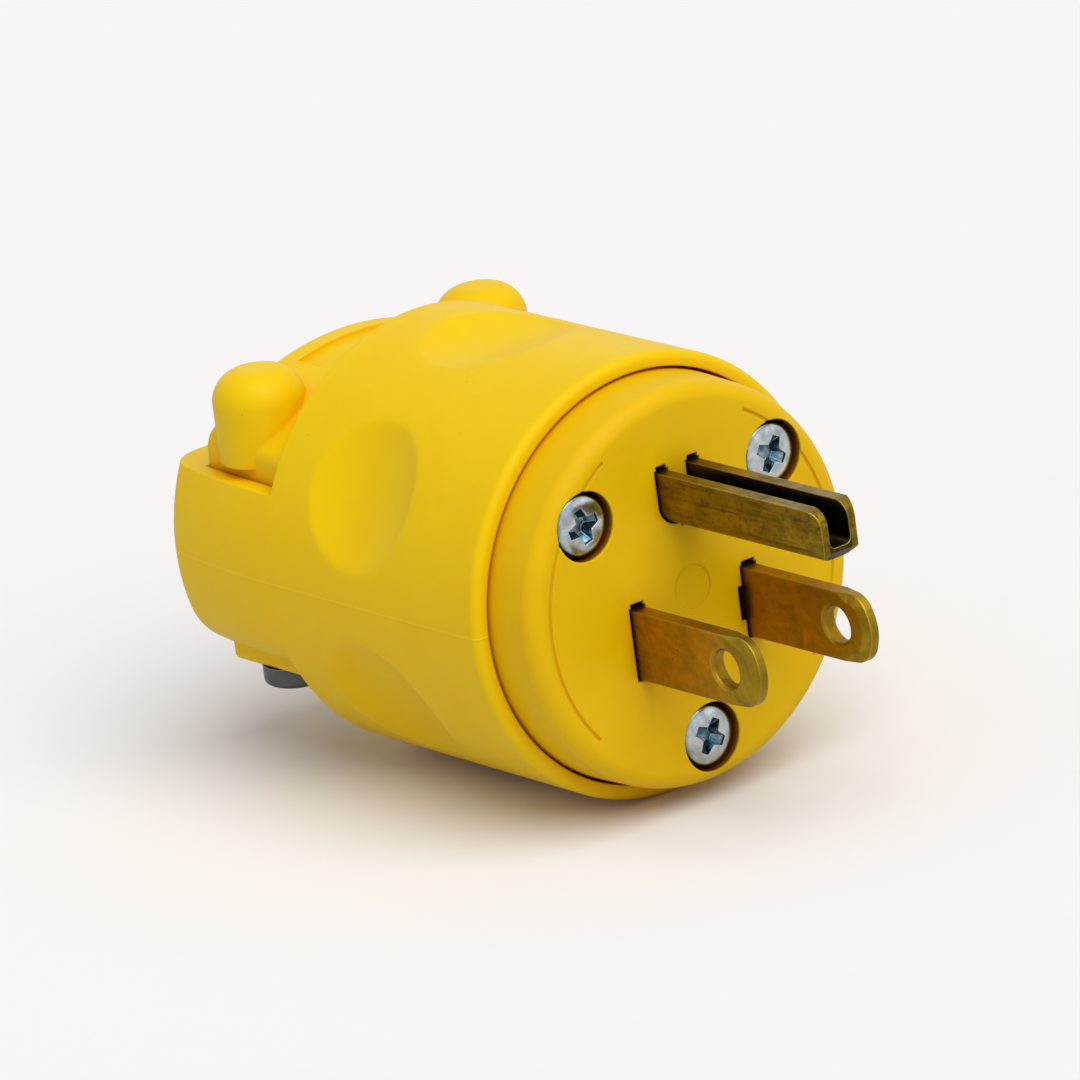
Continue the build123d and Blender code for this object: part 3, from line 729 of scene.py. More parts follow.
class PlugSizes(bpy.types.PropertyGroup):
    """Sizes of the visible pieces."""

    body_radius: size_setting("Body radius", "Radius of the body at its rim", SHELL_BOX[1].x)
    rim_edge: size_setting("Rim edge", "Rounding of the body's front rim", 0.8)
    grip_count: IntProperty(name="Grips", description="Finger grips round the body", default=6)
    grip_setback: size_setting("Grip setback", "Middle of the grips, behind the mating face", 23.0)
    grip_length: size_setting("Grip length", "Length of a grip along the body", 13.8)
    grip_depth: size_setting("Grip depth", "Depth of a grip in its middle", 1.65)
    grip_round: size_setting("Grip round", "Radius of a grip's hollow across the body", 60.0)
    grip_softness: size_setting("Grip softness", "How far a grip's edge is blended", 0.12)
    neck_corner: size_setting("Neck corner", "Rounding of the neck's lower corners", 6.0)
    neck_end: size_setting("Neck end", "Rounding of the neck's rear end", 2.8)
    crown_radius: size_setting("Crown radius", "Radius of the cord clamp's top", 26.0)
    crown_side: size_setting("Crown side", "Rounding of the crown's side edges", 1.5)
    clamp_edge: size_setting("Clamp edge", "Rounding of the crown's rear edge", 0.8)
    dome_radius: size_setting("Dome radius", "Radius of the two domes", 4.2)
    dome_round: size_setting("Dome rounding", "Rounding of a dome's top", 3.0)
    panel_half: size_setting("Panel half width", "Half the sunk panel's width", 6.3)
    panel_depth: size_setting("Panel depth", "Depth of the sunk panel", 0.4)
    face_edge: size_setting("Face edge", "Rounding round the mating face", 1.6)
    ring_radius: size_setting("Ring radius", "Radius of the engraved ring", 16.0)
    gate_radius: size_setting("Gate mark", "Radius of the moulding mark in the face", 2.0)
    blade_bevel: size_setting("Blade bevel", "Coined bevel round a blade's tip", 0.9)
    hole_radius: size_setting("Blade hole", "Radius of the hole in a blade", 1.7)
    head_radius: size_setting("Screw head", "Radius of a face screw's head", 2.85)
    head_height: size_setting("Screw head height", "Height of a face screw's head", 1.9)
    cross_width: size_setting("Cross width", "Width of the cross recess", 0.9)


class PlugColours(bpy.types.PropertyGroup):
    """Colours of the surfaces and of the stage."""

    vinyl: colour_setting("Vinyl", "Moulded body and cord clamp", "#F0C900")
    # The crease tone is painted shade; the flow mottle uses the same tone
    vinyl_deep: colour_setting("Vinyl in creases", "Tone of the vinyl in creases", "#F09C00")
    nylon: colour_setting("Nylon", "Moulded front cover", "#E8BD02")
    # The crease tone is painted shade; the flow mottle uses the same tone
    nylon_deep: colour_setting("Nylon in creases", "Tone of the nylon in creases", "#DE8800")
    brass: colour_setting("Brass", "Clean brass strip", "#AE8F24")
    tarnish: colour_setting("Tarnish", "Olive tarnish on the brass", "#6E5B16")
    brown: colour_setting("Dark tarnish", "Brown tarnish and grains on the brass", "#4C3508")
    zinc: colour_setting("Zinc", "Bright plated screws", "#DDE2E2")
    zinc_shade: colour_setting("Zinc shade", "Cooler patches of the plating", "#A6B4BA")
    # Painted shade in the cross recess and round the head's seat, in the plating's cool tint
    zinc_recess: colour_setting("Zinc recess", "Plating deep in the cross recess", "#3A6678")
    steel: colour_setting("Dark steel", "Clamp screws under the neck", "#5F6163")
    paper: colour_setting("Paper", "Studio floor", "#F6F4F4")


class PlugStage(bpy.types.PropertyGroup):
    """Light and camera."""

    sun_level: FloatProperty(name="Sun", description="Strength of the overhead light", default=2.1)
    sky_level: FloatProperty(name="Sky", description="Strength of the light all round", default=0.44)
    card_level: FloatProperty(
        name="Card", description="Power of the side card", default=0.12, unit="POWER"
    )
    sun_spread: angle_setting("Sun spread", "Width of the overhead light", 60.0)
    azimuth: angle_setting("Azimuth", "Camera's turn round the plug", -37.17)
    elevation: angle_setting("Elevation", "Camera above the horizon", 18.27)
    roll: angle_setting("Roll", "Camera's turn about its view", -7.78)
    distance: size_setting("Distance", "Camera to plug", 1055.25)
    lens: FloatProperty(name="Lens", description="Focal length in millimetres", default=409.02)


def sizes():
    """The settings' sizes in millimetres, by name."""
    group = bpy.context.scene.plug_sizes
    values = {key: getattr(group, key) / MM for key in PlugSizes.__annotations__}
    values["grip_count"] = group.grip_count
    return values


def tones():
    """The settings' colours, by name."""
    group = bpy.context.scene.plug_colours
    return {key: list(getattr(group, key)) for key in PlugColours.__annotations__}


def shared(name, make, *arguments):
    """A material that several pieces use, made once."""
    return bpy.data.materials.get(name) or make(*arguments)


def vinyl():
    """Yellow moulded vinyl with the parting line."""
    tone = tones()
    # Painted highlight and wear on open edges, and painted highlight along the parting line
    light = linear("#FFE23C")
    arguments = ("moulded vinyl", tone["vinyl"], tone["vinyl_deep"], light, True, 0.35)
    return shared("moulded vinyl", moulded, *arguments)


def zinc():
    """Bright plating of the face screws and terminals."""
    tone = tones()
    arguments = ("zinc-plated steel", tone["zinc"], tone["zinc_shade"], tone["zinc_recess"], 0.13)
    return shared("zinc-plated steel", plated_steel, *arguments)


def brass():
    """Tarnished strip of the blades and of the ground pin."""
    tone = tones()
    return shared("brass strip", brass_strip, tone["brass"], tone["tarnish"], tone["brown"])


# Pieces


def grip_shape(size):
    """The function that sinks the body's side into the grips, with soft edges."""
    sunk = size["grip_depth"]
    grip_arc = (size["grip_length"] ** 2 / 4 + sunk**2) / (2 * sunk)
    middle = (size["body_radius"] + BACK_RADIUS) / 2
    floor = middle - sunk
    pivot = floor + size["grip_round"]

    def gripped(radius, depth, angle):
        """Radius of the body at a depth and an angle."""
        away = depth - size["grip_setback"]
        if radius < GRIPPED_FROM_RADIUS or abs(away) > grip_arc * 0.62:
            return radius
        turn = 2 * pi / size["grip_count"]
        near = (angle % turn) - turn / 2
        hollow = pivot - (floor + grip_arc - sqrt(grip_arc**2 - away**2))
        root = hollow**2 - (pivot * sin(near)) ** 2
        reach = pivot * cos(near) - sqrt(max(root, 0.0))
        soft = size["grip_softness"]
        blend = max(soft - abs(radius - reach), 0.0) / soft
        return min(radius, reach) - blend**2 * soft / 4

    return gripped


def body_profile(size):
    """Section of the belly, the body's side, its rim, its mouth and its chamber."""
    belly_x = BACK_RADIUS - BELLY_INSET - BELLY_DEPTH
    belly = [
        (belly_x + BELLY_DEPTH * sin(a), BODY_BACK + BELLY_LENGTH * cos(a))
        for a in [radians(90 * number / 28) for number in range(29)]
    ]
    edge = size["rim_edge"]
    profile = [(0, BODY_BACK + BELLY_LENGTH)] + belly
    profile += spaced((BACK_RADIUS, BODY_BACK), (size["body_radius"], RIM_DEPTH + edge), 78)
    centre = (size["body_radius"] - edge, RIM_DEPTH + edge)
    profile += arc(centre, edge, 0, -90, 8)
    profile += [
        (MOUTH_RADIUS, RIM_DEPTH),
        (MOUTH_RADIUS, COVER_DEPTH),
        (CHAMBER_RADIUS, COVER_DEPTH),
    ]
    corner = (CHAMBER_RADIUS - CHAMBER_EDGE, CHAMBER_BACK - CHAMBER_EDGE)
    return profile + arc(corner, CHAMBER_EDGE, 0, 90, 6) + [(0, CHAMBER_BACK)]


def neck(size, step):
    """The neck, from its root inside the body to its rounded end."""
    stations = [(BODY_BACK - NECK_ROOT, BACK_RADIUS - 0.8, 0.0), (BODY_BACK, BACK_RADIUS, 0.0)]
    end = SHELL_BOX[1].y
    straight = end - size["neck_end"] - BODY_BACK
    for number in range(1, 31):
        depth = BODY_BACK + straight * number / 30
        stations.append((depth, neck_radius(depth), 0.0))
    for number in range(1, 13):
        a = radians(90 * number / 12)
        depth = end - size["neck_end"] * (1 - sin(a))
        stations.append((depth, neck_radius(depth), size["neck_end"] * (1 - cos(a))))
    loops = []
    for depth, radius, inset in stations:
        outline = neck_outline(radius, inset, size["neck_corner"], step)
        loops.append([at_front(a, b, depth) for a, b in outline])
    return lofted("neck", loops)


def pad(across, depth):
    """The raised seat of a clamp screw, with a rounded edge."""
    loops = []
    for number in range(6):
        a = radians(90 * number / 5)
        inset = PAD_EDGE * (1 - sin(a))
        half, reach = PAD_HALF_WIDTH - inset, PAD_HALF_LENGTH - inset
        height = PAD_BOTTOM + PAD_EDGE * (1 - cos(a))
        corners = [(-half, -reach), (half, -reach), (half, reach), (-half, reach)]
        loops.append([(across + a, depth + b, height) for a, b in corners])
    loops.append([(a, b, PAD_ROOT) for a, b, height in loops[-1]])
    return lofted("pad", loops)


class BuildShell(bpy.types.Operator):
    """Body, belly and neck, moulded in one piece"""

    bl_idname = "plug.build_shell"
    bl_label = "Shell"

    def execute(self, context):
        size = sizes()
        segments = 320
        profile, gripped = body_profile(size), grip_shape(size)
        shell = turned("shell_visual", profile, segments, at_front, shape=gripped)
        reach = 2 * size["body_radius"]
        carve(shell, block("above neck", (-reach, BODY_BACK, NECK_TOP), (reach, 60, reach)))
        carve(shell, neck(size, 360 / segments), "UNION")
        for across, depth in SCREW_SPOTS:
            carve(shell, pad(across, depth), "UNION")
        for angle in FACE_SCREW_ANGLES:
            spot = Vector((cos(radians(angle)), sin(radians(angle)))) * FACE_SCREW_CIRCLE
            boss = rod("boss", BOSS_RADIUS, BOSS_START, BOSS_ROOT, at_front, spot)
            carve(shell, boss, "UNION")
            low = BOSS_START - 1
            hole = rod("boss hole", BOSS_HOLE_RADIUS, low, BOSS_HOLE_END, at_front, spot, 32)
            carve(shell, hole)
        pocket = [
            (-POCKET_FRONT_HALF, BODY_BACK),
            (POCKET_FRONT_HALF, BODY_BACK),
            (POCKET_BACK_HALF, POCKET_BACK),
            (-POCKET_BACK_HALF, POCKET_BACK),
        ]
        carve(shell, prism("pocket", pocket, SHOULDER_TOP, 12, at_top))
        groove = arc((0, GROOVE_HEIGHT), GROOVE_RADIUS, -180, 0, 72)
        groove += [(GROOVE_RADIUS, 14), (-GROOVE_RADIUS, 14)]
        carve(shell, prism("groove", groove, BODY_BACK, SHELL_BOX[1].y + 1, at_front))
        passage = arc((0, GROOVE_HEIGHT), GROOVE_RADIUS, -180, 0, 72)
        passage += arc((0, ARCH_HEIGHT), GROOVE_RADIUS, 0, 180, 72)
        carve(shell, prism("passage", passage, CHAMBER_BACK - 0.5, BODY_BACK + 0.2, at_front))
        for start in RIB_STARTS:
            rib = arc((0, GROOVE_HEIGHT), GROOVE_RADIUS - RIB_HEIGHT, -154, -26, 40)
            rib += arc((0, GROOVE_HEIGHT), GROOVE_RADIUS + RIB_ROOT, -33, -147, 40)
            carve(shell, prism("rib", rib, start, start + RIB_WIDTH, at_front), "UNION")
        for spot in SCREW_SPOTS:
            carve(shell, rod("screw passage", SCREW_PASSAGE_RADIUS, -11, 0, at_top, spot))
        smooth(shell)
        hand_over(shell, vinyl(), "shell_vinyl", "shell")
        return {"FINISHED"}


class BuildClamp(bpy.types.Operator):
    """Cord clamp: a crowned saddle with a dome over each screw"""

    bl_idname = "plug.build_clamp"
    bl_label = "Cord clamp"

    def execute(self, context):
        size = sizes()
        edge = size["clamp_edge"]
        stations = [(CLAMP_FRONT, 0.0)]
        straight = CLAMP_BACK - edge - CLAMP_FRONT
        stations += [(CLAMP_FRONT + straight * number / 12, 0.0) for number in range(1, 13)]
        for number in range(1, 7):
            a = radians(90 * number / 6)
            stations.append((CLAMP_BACK - edge * (1 - sin(a)), edge * (1 - cos(a))))
        loops = []
        for depth, drop in stations:
            share = (depth - CLAMP_FRONT) / (CLAMP_BACK - CLAMP_FRONT)
            half = CLAMP_FRONT_HALF + (CLAMP_BACK_HALF - CLAMP_FRONT_HALF) * share
            outline = clamp_outline(half, size["crown_radius"], size["crown_side"], drop)
            loops.append([at_front(a, b, depth) for a, b in outline])
        clamp = lofted("cord_clamp_visual", loops)
        centre = (0, CROWN_TOP - size["crown_radius"])
        half_angle = degrees(asin(size["panel_half"] / size["crown_radius"]))
        sunk = size["crown_radius"] - size["panel_depth"]
        inner = arc(centre, sunk, 90 - half_angle, 90 + half_angle, 24)
        outer = arc(centre, size["crown_radius"] + 1, 90 + half_angle, 90 - half_angle, 24)
        carve(clamp, prism("panel", inner + outer, PANEL_START, PANEL_END, at_front))
        for spot in SCREW_SPOTS:
            radius, rounding = size["dome_radius"], size["dome_round"]
            profile = [(0, DOME_TOP), (radius - rounding - 0.1, DOME_TOP)]
            profile += arc((radius - rounding, DOME_TOP - rounding), rounding, 90, 0, 16)
            profile += [(radius, DOME_FOOT + 2), (radius, DOME_FOOT), (0, DOME_FOOT)]
            carve(clamp, turned("dome", profile, 128, at_top, spot), "UNION")
            low = CLAMP_BOTTOM - 1
            carve(clamp, rod("thread hole", THREAD_RADIUS, low, THREAD_END, at_top, spot, 32))
        for start in RIB_STARTS:
            rib = arc((0, ARCH_HEIGHT), GROOVE_RADIUS - RIB_HEIGHT, 26, 154, 40)
            rib += arc((0, ARCH_HEIGHT), GROOVE_RADIUS + RIB_ROOT, 147, 33, 40)
            carve(clamp, prism("rib", rib, start, start + RIB_WIDTH, at_front), "UNION")
        smooth(clamp)
        hand_over(clamp, vinyl(), "shell_vinyl", "cord_clamp")
        return {"FINISHED"}


class BuildCover(bpy.types.Operator):
    """Front cover with the pin slots, the counterbores and the engraved ring"""

    bl_idname = "plug.build_cover"
    bl_label = "Front cover"

    def execute(self, context):
        size = sizes()
        edge = size["face_edge"]
        profile = [(0, 0), (8, 0), (FACE_RADIUS - edge - 0.1, 0)]
        slope = degrees(atan2(COVER_BOX[1].x - FACE_RADIUS, COVER_DEPTH))
        centre = (FACE_RADIUS - edge * (1 - sin(radians(slope))) + 0.06, edge)
        profile += arc(centre, edge, -90, -slope, 14)
        profile += [
            (COVER_BOX[1].x - 0.02, COVER_DEPTH - 0.4),
            (COVER_BOX[1].x, COVER_DEPTH),
            (COVER_INNER_RADIUS, COVER_DEPTH),
            (COVER_INNER_RADIUS, FACE_THICKNESS),
            (0, FACE_THICKNESS),
        ]
        cover = turned("front_cover_visual", profile, 288, at_front)
        through = FACE_THICKNESS + 0.5
        for side in (-1, 1):
            inner = BLADE_PITCH / 2 - BLADE_THICKNESS / 2 - SLOT_GAP
            outer = BLADE_PITCH / 2 + BLADE_THICKNESS / 2 + SLOT_GAP
            low = BLADE_HEIGHT - BLADE_HALF - SLOT_GAP
            high = BLADE_HEIGHT + BLADE_HALF + SLOT_GAP
            slot = [(inner, low), (outer, low), (outer, high), (outer - SLOT_GAP, high)]
            notch = high + NOTCH_DEPTH
            slot += [(outer - SLOT_GAP, notch), (inner + SLOT_GAP, notch)]
            slot += [(inner + SLOT_GAP, high), (inner, high)]
            notch = inner - SIDE_NOTCH_DEPTH
            low, high = BLADE_HEIGHT - SIDE_NOTCH_HALF, BLADE_HEIGHT + SIDE_NOTCH_HALF
            slot += [(inner, high), (notch, high), (notch, low), (inner, low)]
            outline = [(side * a, b) for a, b in slot]
            carve(cover, prism("blade slot", outline, -0.5, through, at_front))
        carve(cover, prism("ground slot", trough_outline(SLOT_GAP), -0.5, through, at_front))
        bottom, top = GROUND_BOX[0].z - SLOT_GAP, GROUND_BOX[1].z + SLOT_GAP
        strip = GROUND_HALF - GROUND_WALL / 2
        for across, half, height in ((0, 0.35, bottom), (-strip, 0.6, top), (strip, 0.6, top)):
            low = across - half, -0.5, height - NOTCH_DEPTH
            high = across + half, through, height + NOTCH_DEPTH
            carve(cover, block("notch", low, high))
        for angle in FACE_SCREW_ANGLES:
            spot = Vector((cos(radians(angle)), sin(radians(angle)))) * FACE_SCREW_CIRCLE
            reach = COUNTERBORE_RADIUS
            passage = SCREW_PASSAGE_RADIUS
            profile = [(0, -0.5), (reach, -0.5), (reach, COUNTERBORE_DEPTH)]
            profile += [(passage, COUNTERBORE_DEPTH), (passage, through), (0, through)]
            carve(cover, turned("counterbore", profile, 96, at_front, spot))
        section = [(-0.2, -0.2), (-0.16, 0.06), (-0.1, 0.15), (0.0, 0.18)]
        section += [(-a, b) for a, b in reversed(section[:-1])]
        for start, end in ((-40, 60), (120, 220)):
            loops = []
            for number in range(91):
                a = radians(start + (end - start) * number / 90)
                radii = [(size["ring_radius"] + out, depth) for out, depth in section]
                loops.append([(r * cos(a), depth, r * sin(a)) for r, depth in radii])
            carve(cover, lofted("ring groove", loops))
        mark = rod("gate mark", size["gate_radius"], -0.5, GATE_DEPTH, at_front, (0, 0), 96)
        carve(cover, mark)
        smooth(cover)
        tone = tones()
        # Painted highlight and wear on the cover's open edges
        light = linear("#FFDC2C")
        arguments = ("moulded nylon", tone["nylon"], tone["nylon_deep"], light, False, 0.22)
        hand_over(cover, shared("moulded nylon", moulded, *arguments), "cover_nylon", "front_cover")
        return {"FINISHED"}


def blade(name, middle, bevel, hole):
    """A flat blade with its coined tip, its hole and its terminal tab."""
    half = BLADE_THICKNESS / 2
    outline = blade_outline(bevel)
    loops = []
    for face, inner in ((-1, True), (-1, False), (1, False), (1, True)):
        loop = []
        for depth, height, width, out_depth, out_height in outline:
            sunk = 0 if inner else COIN_DEPTH * width / bevel
            inset = width if inner else 0
            across = middle + face * (half - sunk)
            height = BLADE_HEIGHT + height - inset * out_height
            loop.append((across, depth - inset * out_depth, height))
        loops.append(loop)
    piece = lofted(name, loops)
    profile = [(0, -half - 0.3), (hole + 0.55, -half - 0.3), (hole, -half + 0.25)]
    profile += [(radius, -depth) for radius, depth in reversed(profile)]
    profile = [(radius, middle + depth) for radius, depth in profile]
    centre = (BLADE_HOLE_DEPTH, BLADE_HEIGHT)
    carve(piece, turned("blade hole", profile, 72, at_side, centre))
    spot = (TERMINAL_DEPTH, BLADE_HEIGHT)
    carve(piece, rod("terminal hole", TERMINAL_HOLE, middle - 2, middle + 2, at_side, spot))
    smooth(piece, 20.0)
    return piece


def ground_pin(name):
    """The folded ground pin, rounded and tapered at its front, and its terminal tab."""
    tip, bottom, top = GROUND_BOX[0].y, GROUND_BOX[0].z, GROUND_BOX[1].z
    pin = prism(name, trough_outline(0), tip, 10.0, at_front)
    nose = tip + NOSE_RADIUS
    side_view = [(11, bottom - 1), (11, top + 1), (nose, top + 1)]
    side_view += arc((nose, top - NOSE_RADIUS), NOSE_RADIUS, 90, 180, 16)
    nose = tip + NOSE_BEVEL
    side_view += [(tip, bottom + NOSE_BEVEL), (nose, bottom), (nose, bottom - 1)]
    carve(pin, prism("side view", side_view, -4, 4, at_side), "INTERSECT")
    half = GROUND_HALF + 0.125
    taper = [(-half, 11), (-half, tip + NOSE_TAPER), (-NOSE_HALF, tip)]
    taper += [(-a, b) for a, b in reversed(taper)]
    carve(pin, prism("plan", taper, bottom - 1, top + 1, at_top), "INTERSECT")
    side = tab_side()
    plate = [(half, depth) for depth, half in reversed(side)]
    plate += [(-half, depth) for depth, half in side]
    carve(pin, prism("tab", plate, bottom, bottom + GROUND_WALL, at_top), "UNION")
    spot = (0, TERMINAL_DEPTH)
    carve(pin, rod("tab hole", TERMINAL_HOLE, bottom - 1, bottom + 3, at_top, spot))
    smooth(pin, 24.0)
    return pin


class BuildPins(bpy.types.Operator):
    """The two blades and the folded ground pin"""

    bl_idname = "plug.build_pins"
    bl_label = "Pins"

    def execute(self, context):
        size = sizes()
        for node, side in (("blade_hot", 1), ("blade_neutral", -1)):
            middle = side * BLADE_PITCH / 2
            sizes_given = middle, size["blade_bevel"], size["hole_radius"]
            piece = blade(f"{node}_visual", *sizes_given)
            hand_over(piece, brass(), "brass_strip", node)
        pin = ground_pin("ground_pin_visual")
        hand_over(pin, brass(), "brass_strip", "ground_pin")
        return {"FINISHED"}


def screw_shape(name, place, unplace, head_radius, head_height, cross_width, shank_length):
    """One pan-head screw with a cross recess. Depth 0 is its seat, and the head is below 0.
    Its attribute "recess" is 1 on the faces of the cross."""
    profile = [(0, -head_height)]
    shoulder = 0.62 * head_height
    for number in range(1, 19):
        a = radians(90 * number / 18)
        dome = (head_height - shoulder) * cos(a) ** 0.8
        profile.append((head_radius * sin(a) ** 0.8, -shoulder - dome))
    profile += [(head_radius, 0), (SHANK_RADIUS, 0), (SHANK_RADIUS, shank_length - 0.5)]
    profile += [(SHANK_RADIUS - 0.5, shank_length), (0, shank_length)]
    piece = turned(name, profile, 96, place)
    long, wide = 0.6 * head_radius, cross_width / 2
    loops = []
    for depth, long_share, wide_share in ((-0.2, 1.0, 1.0), (0.35, 0.93, 0.92), (1.15, 0.5, 0.62)):
        reach, half = long_share * long, wide_share * wide
        quarter = [(reach, -half), (reach, half), (half * 1.5, half * 1.5)]
        loop = []
        for turn in range(4):
            c, s = cos(pi / 2 * turn), sin(pi / 2 * turn)
            loop += [place(a * c - b * s, a * s + b * c, depth - head_height) for a, b in quarter]
        loops.append(loop)
    carve(piece, lofted("cross", loops))
    smooth(piece, 30.0)
    mark = piece.data.attributes.new("recess", "FLOAT", "FACE")
    for face, item in zip(piece.data.polygons, mark.data):
        a, b, depth = [value / MM for value in unplace(face.center)]
        open_face = sqrt(max(1 - (sqrt(a * a + b * b) / head_radius) ** 2.5, 0.0)) ** 0.8
        top = -shoulder - (head_height - shoulder) * open_face
        item.value = 1.0 if a * a + b * b < long * long and top + 0.05 < depth < 0 else 0.0
    return piece


def screw_tree():
    """Geometry nodes: one screw on each point, turned by the point's spin, in its material."""
    tree = bpy.data.node_groups.new("Screws on points", "GeometryNodeTree")
    face = tree.interface
    face.new_socket("Geometry", in_out="INPUT", socket_type="NodeSocketGeometry")
    face.new_socket("Screw", in_out="INPUT", socket_type="NodeSocketObject")
    face.new_socket("Spin axis", in_out="INPUT", socket_type="NodeSocketVector")
    face.new_socket("Surface", in_out="INPUT", socket_type="NodeSocketMaterial")
    face.new_socket("Geometry", in_out="OUTPUT", socket_type="NodeSocketGeometry")
    given = add(tree, "NodeGroupInput").node.outputs
    screw = add(tree, "GeometryNodeObjectInfo", {"Object": given["Screw"]}, "Geometry")
    spin = {"Name": "spin"}
    spin = add(tree, "GeometryNodeInputNamedAttribute", spin, "Attribute", data_type="FLOAT")
    turn = add(tree, VECTOR, {0: given["Spin axis"], "Scale": spin}, operation="SCALE")
    spots = {"Points": given["Geometry"], "Instance": screw, "Rotation": turn}
    placed = add(tree, "GeometryNodeInstanceOnPoints", spots)
    real = add(tree, "GeometryNodeRealizeInstances", {0: placed})
    surface = {"Geometry": real, "Material": given["Surface"]}
    add(tree, "NodeGroupOutput", {0: add(tree, "GeometryNodeSetMaterial", surface)})
    return tree


def place_screws(name, shape, points, spins, axis, surface, slot, nodes):
    """Puts a screw on each point with the node tree, bakes it and hands it over."""
    mesh = bpy.data.meshes.new(name)
    mesh.from_pydata([Vector(point) * MM for point in points], [], [])
    spin = mesh.attributes.new("spin", "FLOAT", "POINT")
    spin.data.foreach_set("value", [radians(value) for value in spins])
    piece = bpy.data.objects.new(name, mesh)
    bpy.context.scene.collection.objects.link(piece)
    tree = bpy.data.node_groups.get("Screws on points") or screw_tree()
    modifier = piece.modifiers.new("Screws", "NODES")
    modifier.node_group = tree
    values = {"Screw": shape, "Spin axis": axis, "Surface": surface}
    for item in tree.interface.items_tree:
        if item.in_out == "INPUT" and item.name in values:
            modifier[item.identifier] = values[item.name]
    graph = bpy.context.evaluated_depsgraph_get()
    baked = bpy.data.meshes.new_from_object(piece.evaluated_get(graph))
    piece.modifiers.remove(modifier)
    piece.data = baked
    bpy.data.objects.remove(shape)
    if not len(baked.polygons):
        raise RuntimeError(f"{name} came out empty")
    hand_over(piece, surface, slot, *nodes)


class BuildScrews(bpy.types.Operator):
    """Face screws in their counterbores and clamp screws under the neck"""

    bl_idname = "plug.build_screws"
    bl_label = "Screws"

    def execute(self, context):
        size = sizes()
        sizes_given = size["head_radius"], size["head_height"], size["cross_width"]
        shape = screw_shape("face screw", at_front, from_front, *sizes_given, FACE_SHANK_LENGTH)
        circle = FACE_SCREW_CIRCLE
        angles = [radians(value) for value in FACE_SCREW_ANGLES]
        spots = [(circle * cos(a), COUNTERBORE_DEPTH, circle * sin(a)) for a in angles]
        placing = shape, spots, FACE_SPINS, (0, 1, 0)
        place_screws("face_screws", *placing, zinc(), "zinc_steel", FACE_SCREWS)
        sizes_given = CLAMP_HEAD_RADIUS, CLAMP_HEAD_HEIGHT, size["cross_width"]
        shape = screw_shape("clamp screw", at_top, from_top, *sizes_given, CLAMP_SHANK_LENGTH)
        spots = [(across, depth, PAD_BOTTOM) for across, depth in SCREW_SPOTS]
        tone = tones()
        # The third colour is painted shade in the cross recess and round the head's seat
        arguments = ("dark steel", tone["steel"], linear("#5A5C5E"), linear("#26282A"), 0.3)
        dark = shared("dark steel", plated_steel, *arguments)
        placing = shape, spots, CLAMP_SPINS, (0, 0, 1)
        place_screws("clamp_screws", *placing, dark, "dark_steel", CLAMP_SCREWS)
        return {"FINISHED"}


class DressInside(bpy.types.Operator):
    """Materials of the retainer, the wire clamps and the terminal screws"""

    bl_idname = "plug.dress_inside"
    bl_label = "Inside"

    def execute(self, context):
        surfaces = {"blade_retainer": shared("dark phenolic", phenolic)}
        surfaces.update({name: zinc() for name in HIDDEN_ZINC})
        for name, surface in surfaces.items():
            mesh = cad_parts[name].data
            mesh.materials.clear()
            mesh.materials.append(surface)
        return {"FINISHED"}


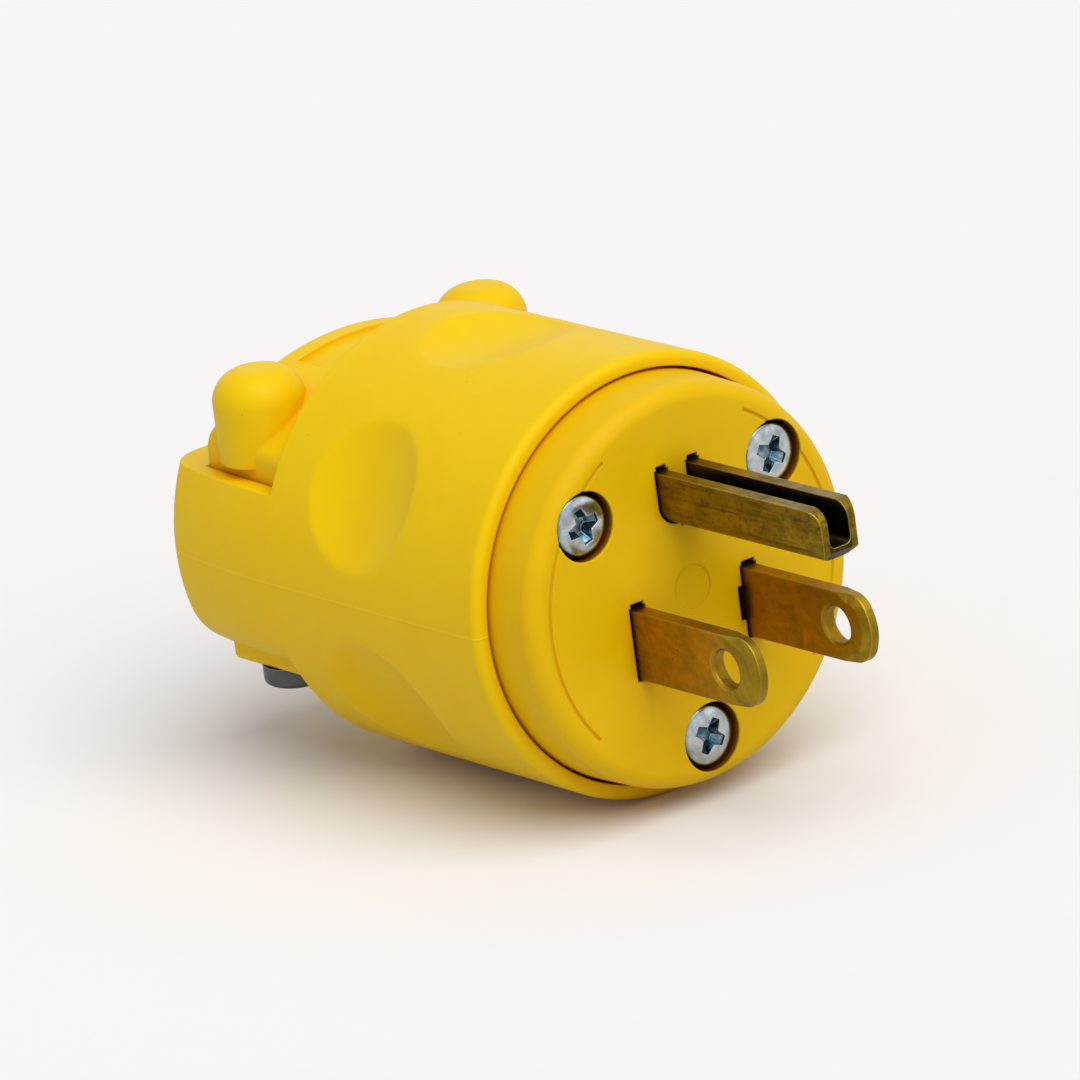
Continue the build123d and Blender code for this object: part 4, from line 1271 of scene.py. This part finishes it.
class BuildStage(bpy.types.Operator):
    """Pale floor, soft light and camera"""

    bl_idname = "plug.build_stage"
    bl_label = "Stage"

    def execute(self, context):
        stage = context.scene.plug_stage
        tone = tones()
        lowest, half = SHELL_BOX[0].z, FLOOR_HALF
        floor = block("floor", (-half, -half, lowest - 20), (half, half, lowest))
        floor.data.materials.append(matt_floor(tone["paper"]))

        world = bpy.data.worlds.new("studio")
        context.scene.world = world
        world.use_nodes = True
        tree = world.node_tree
        tree.nodes.clear()
        path = add(tree, "ShaderNodeLightPath").node.outputs
        rays = {0: path["Is Camera Ray"], 1: path["Is Glossy Ray"]}
        rays = add(tree, MATHS, rays, operation="MAXIMUM")
        seen = add(tree, "ShaderNodeBackground", {"Color": tone["paper"], "Strength": 1.0})
        sky = add(tree, "ShaderNodeBackground", {"Color": (1, 1, 1, 1), "Strength": stage.sky_level})
        mixed = add(tree, "ShaderNodeMixShader", {0: rays, 1: sky, 2: seen})
        add(tree, "ShaderNodeOutputWorld", {"Surface": mixed})

        light = bpy.data.lights.new("overhead", "SUN")
        light.energy = stage.sun_level
        light.angle = stage.sun_spread
        overhead = bpy.data.objects.new("overhead", light)
        overhead.rotation_euler = Vector((-0.08, -0.62, 1.0)).to_track_quat("Z", "Y").to_euler()
        context.scene.collection.objects.link(overhead)

        light = bpy.data.lights.new("side card", "AREA")
        light.energy = stage.card_level
        light.shape = "RECTANGLE"
        light.size, light.size_y = 0.35, 0.5
        card = bpy.data.objects.new("side card", light)
        place = Vector((-0.55, -0.25, 0.35))
        card.location = place
        card.rotation_euler = place.to_track_quat("Z", "Y").to_euler()
        context.scene.collection.objects.link(card)

        turn, rise = stage.azimuth, stage.elevation
        back = Vector((sin(turn) * cos(rise), -cos(turn) * cos(rise), sin(rise)))
        level = Vector((cos(turn), sin(turn), 0))
        above = back.cross(level)
        right = level * cos(stage.roll) + above * sin(stage.roll)
        place = AIM * MM + back * stage.distance
        data = bpy.data.cameras.new("camera")
        data.sensor_width = 36
        data.lens = stage.lens
        data.clip_start, data.clip_end = 0.05, 20
        camera = bpy.data.objects.new("camera", data)
        turned_by = Matrix((right, back.cross(right), back)).transposed()
        camera.matrix_world = Matrix.Translation(place) @ turned_by.to_4x4()
        context.scene.collection.objects.link(camera)
        context.scene.camera = camera
        context.scene.view_settings.view_transform = "Standard"
        return {"FINISHED"}


class PlugPanel(bpy.types.Panel):
    """Buttons and settings of the plug"""

    bl_idname = "VIEW3D_PT_plug"
    bl_label = "Industrial plug"
    bl_space_type = "VIEW_3D"
    bl_region_type = "UI"
    bl_category = "Plug"

    def draw(self, context):
        for operator in OPERATORS:
            self.layout.operator(operator.bl_idname)
        scene = context.scene
        for group in (scene.plug_sizes, scene.plug_colours, scene.plug_stage):
            box = self.layout.box()
            for key in type(group).__annotations__:
                box.prop(group, key)


OPERATORS = (BuildShell, BuildClamp, BuildCover, BuildPins, BuildScrews, DressInside, BuildStage)
CLASSES = (PlugSizes, PlugColours, PlugStage) + OPERATORS + (PlugPanel,)


def register():
    """Registers the classes and their settings."""
    for item in CLASSES:
        bpy.utils.register_class(item)
    bpy.types.Scene.plug_sizes = PointerProperty(type=PlugSizes)
    bpy.types.Scene.plug_colours = PointerProperty(type=PlugColours)
    bpy.types.Scene.plug_stage = PointerProperty(type=PlugStage)


def unregister():
    """Takes the settings and the classes away again."""
    del bpy.types.Scene.plug_stage
    del bpy.types.Scene.plug_colours
    del bpy.types.Scene.plug_sizes
    for item in reversed(CLASSES):
        bpy.utils.unregister_class(item)


def main():
    """Builds every piece and the stage."""
    register()
    bpy.ops.plug.build_shell()
    bpy.ops.plug.build_clamp()
    bpy.ops.plug.build_cover()
    bpy.ops.plug.build_pins()
    bpy.ops.plug.build_screws()
    bpy.ops.plug.dress_inside()
    bpy.ops.plug.build_stage()


if __name__ == "__main__":
    main()
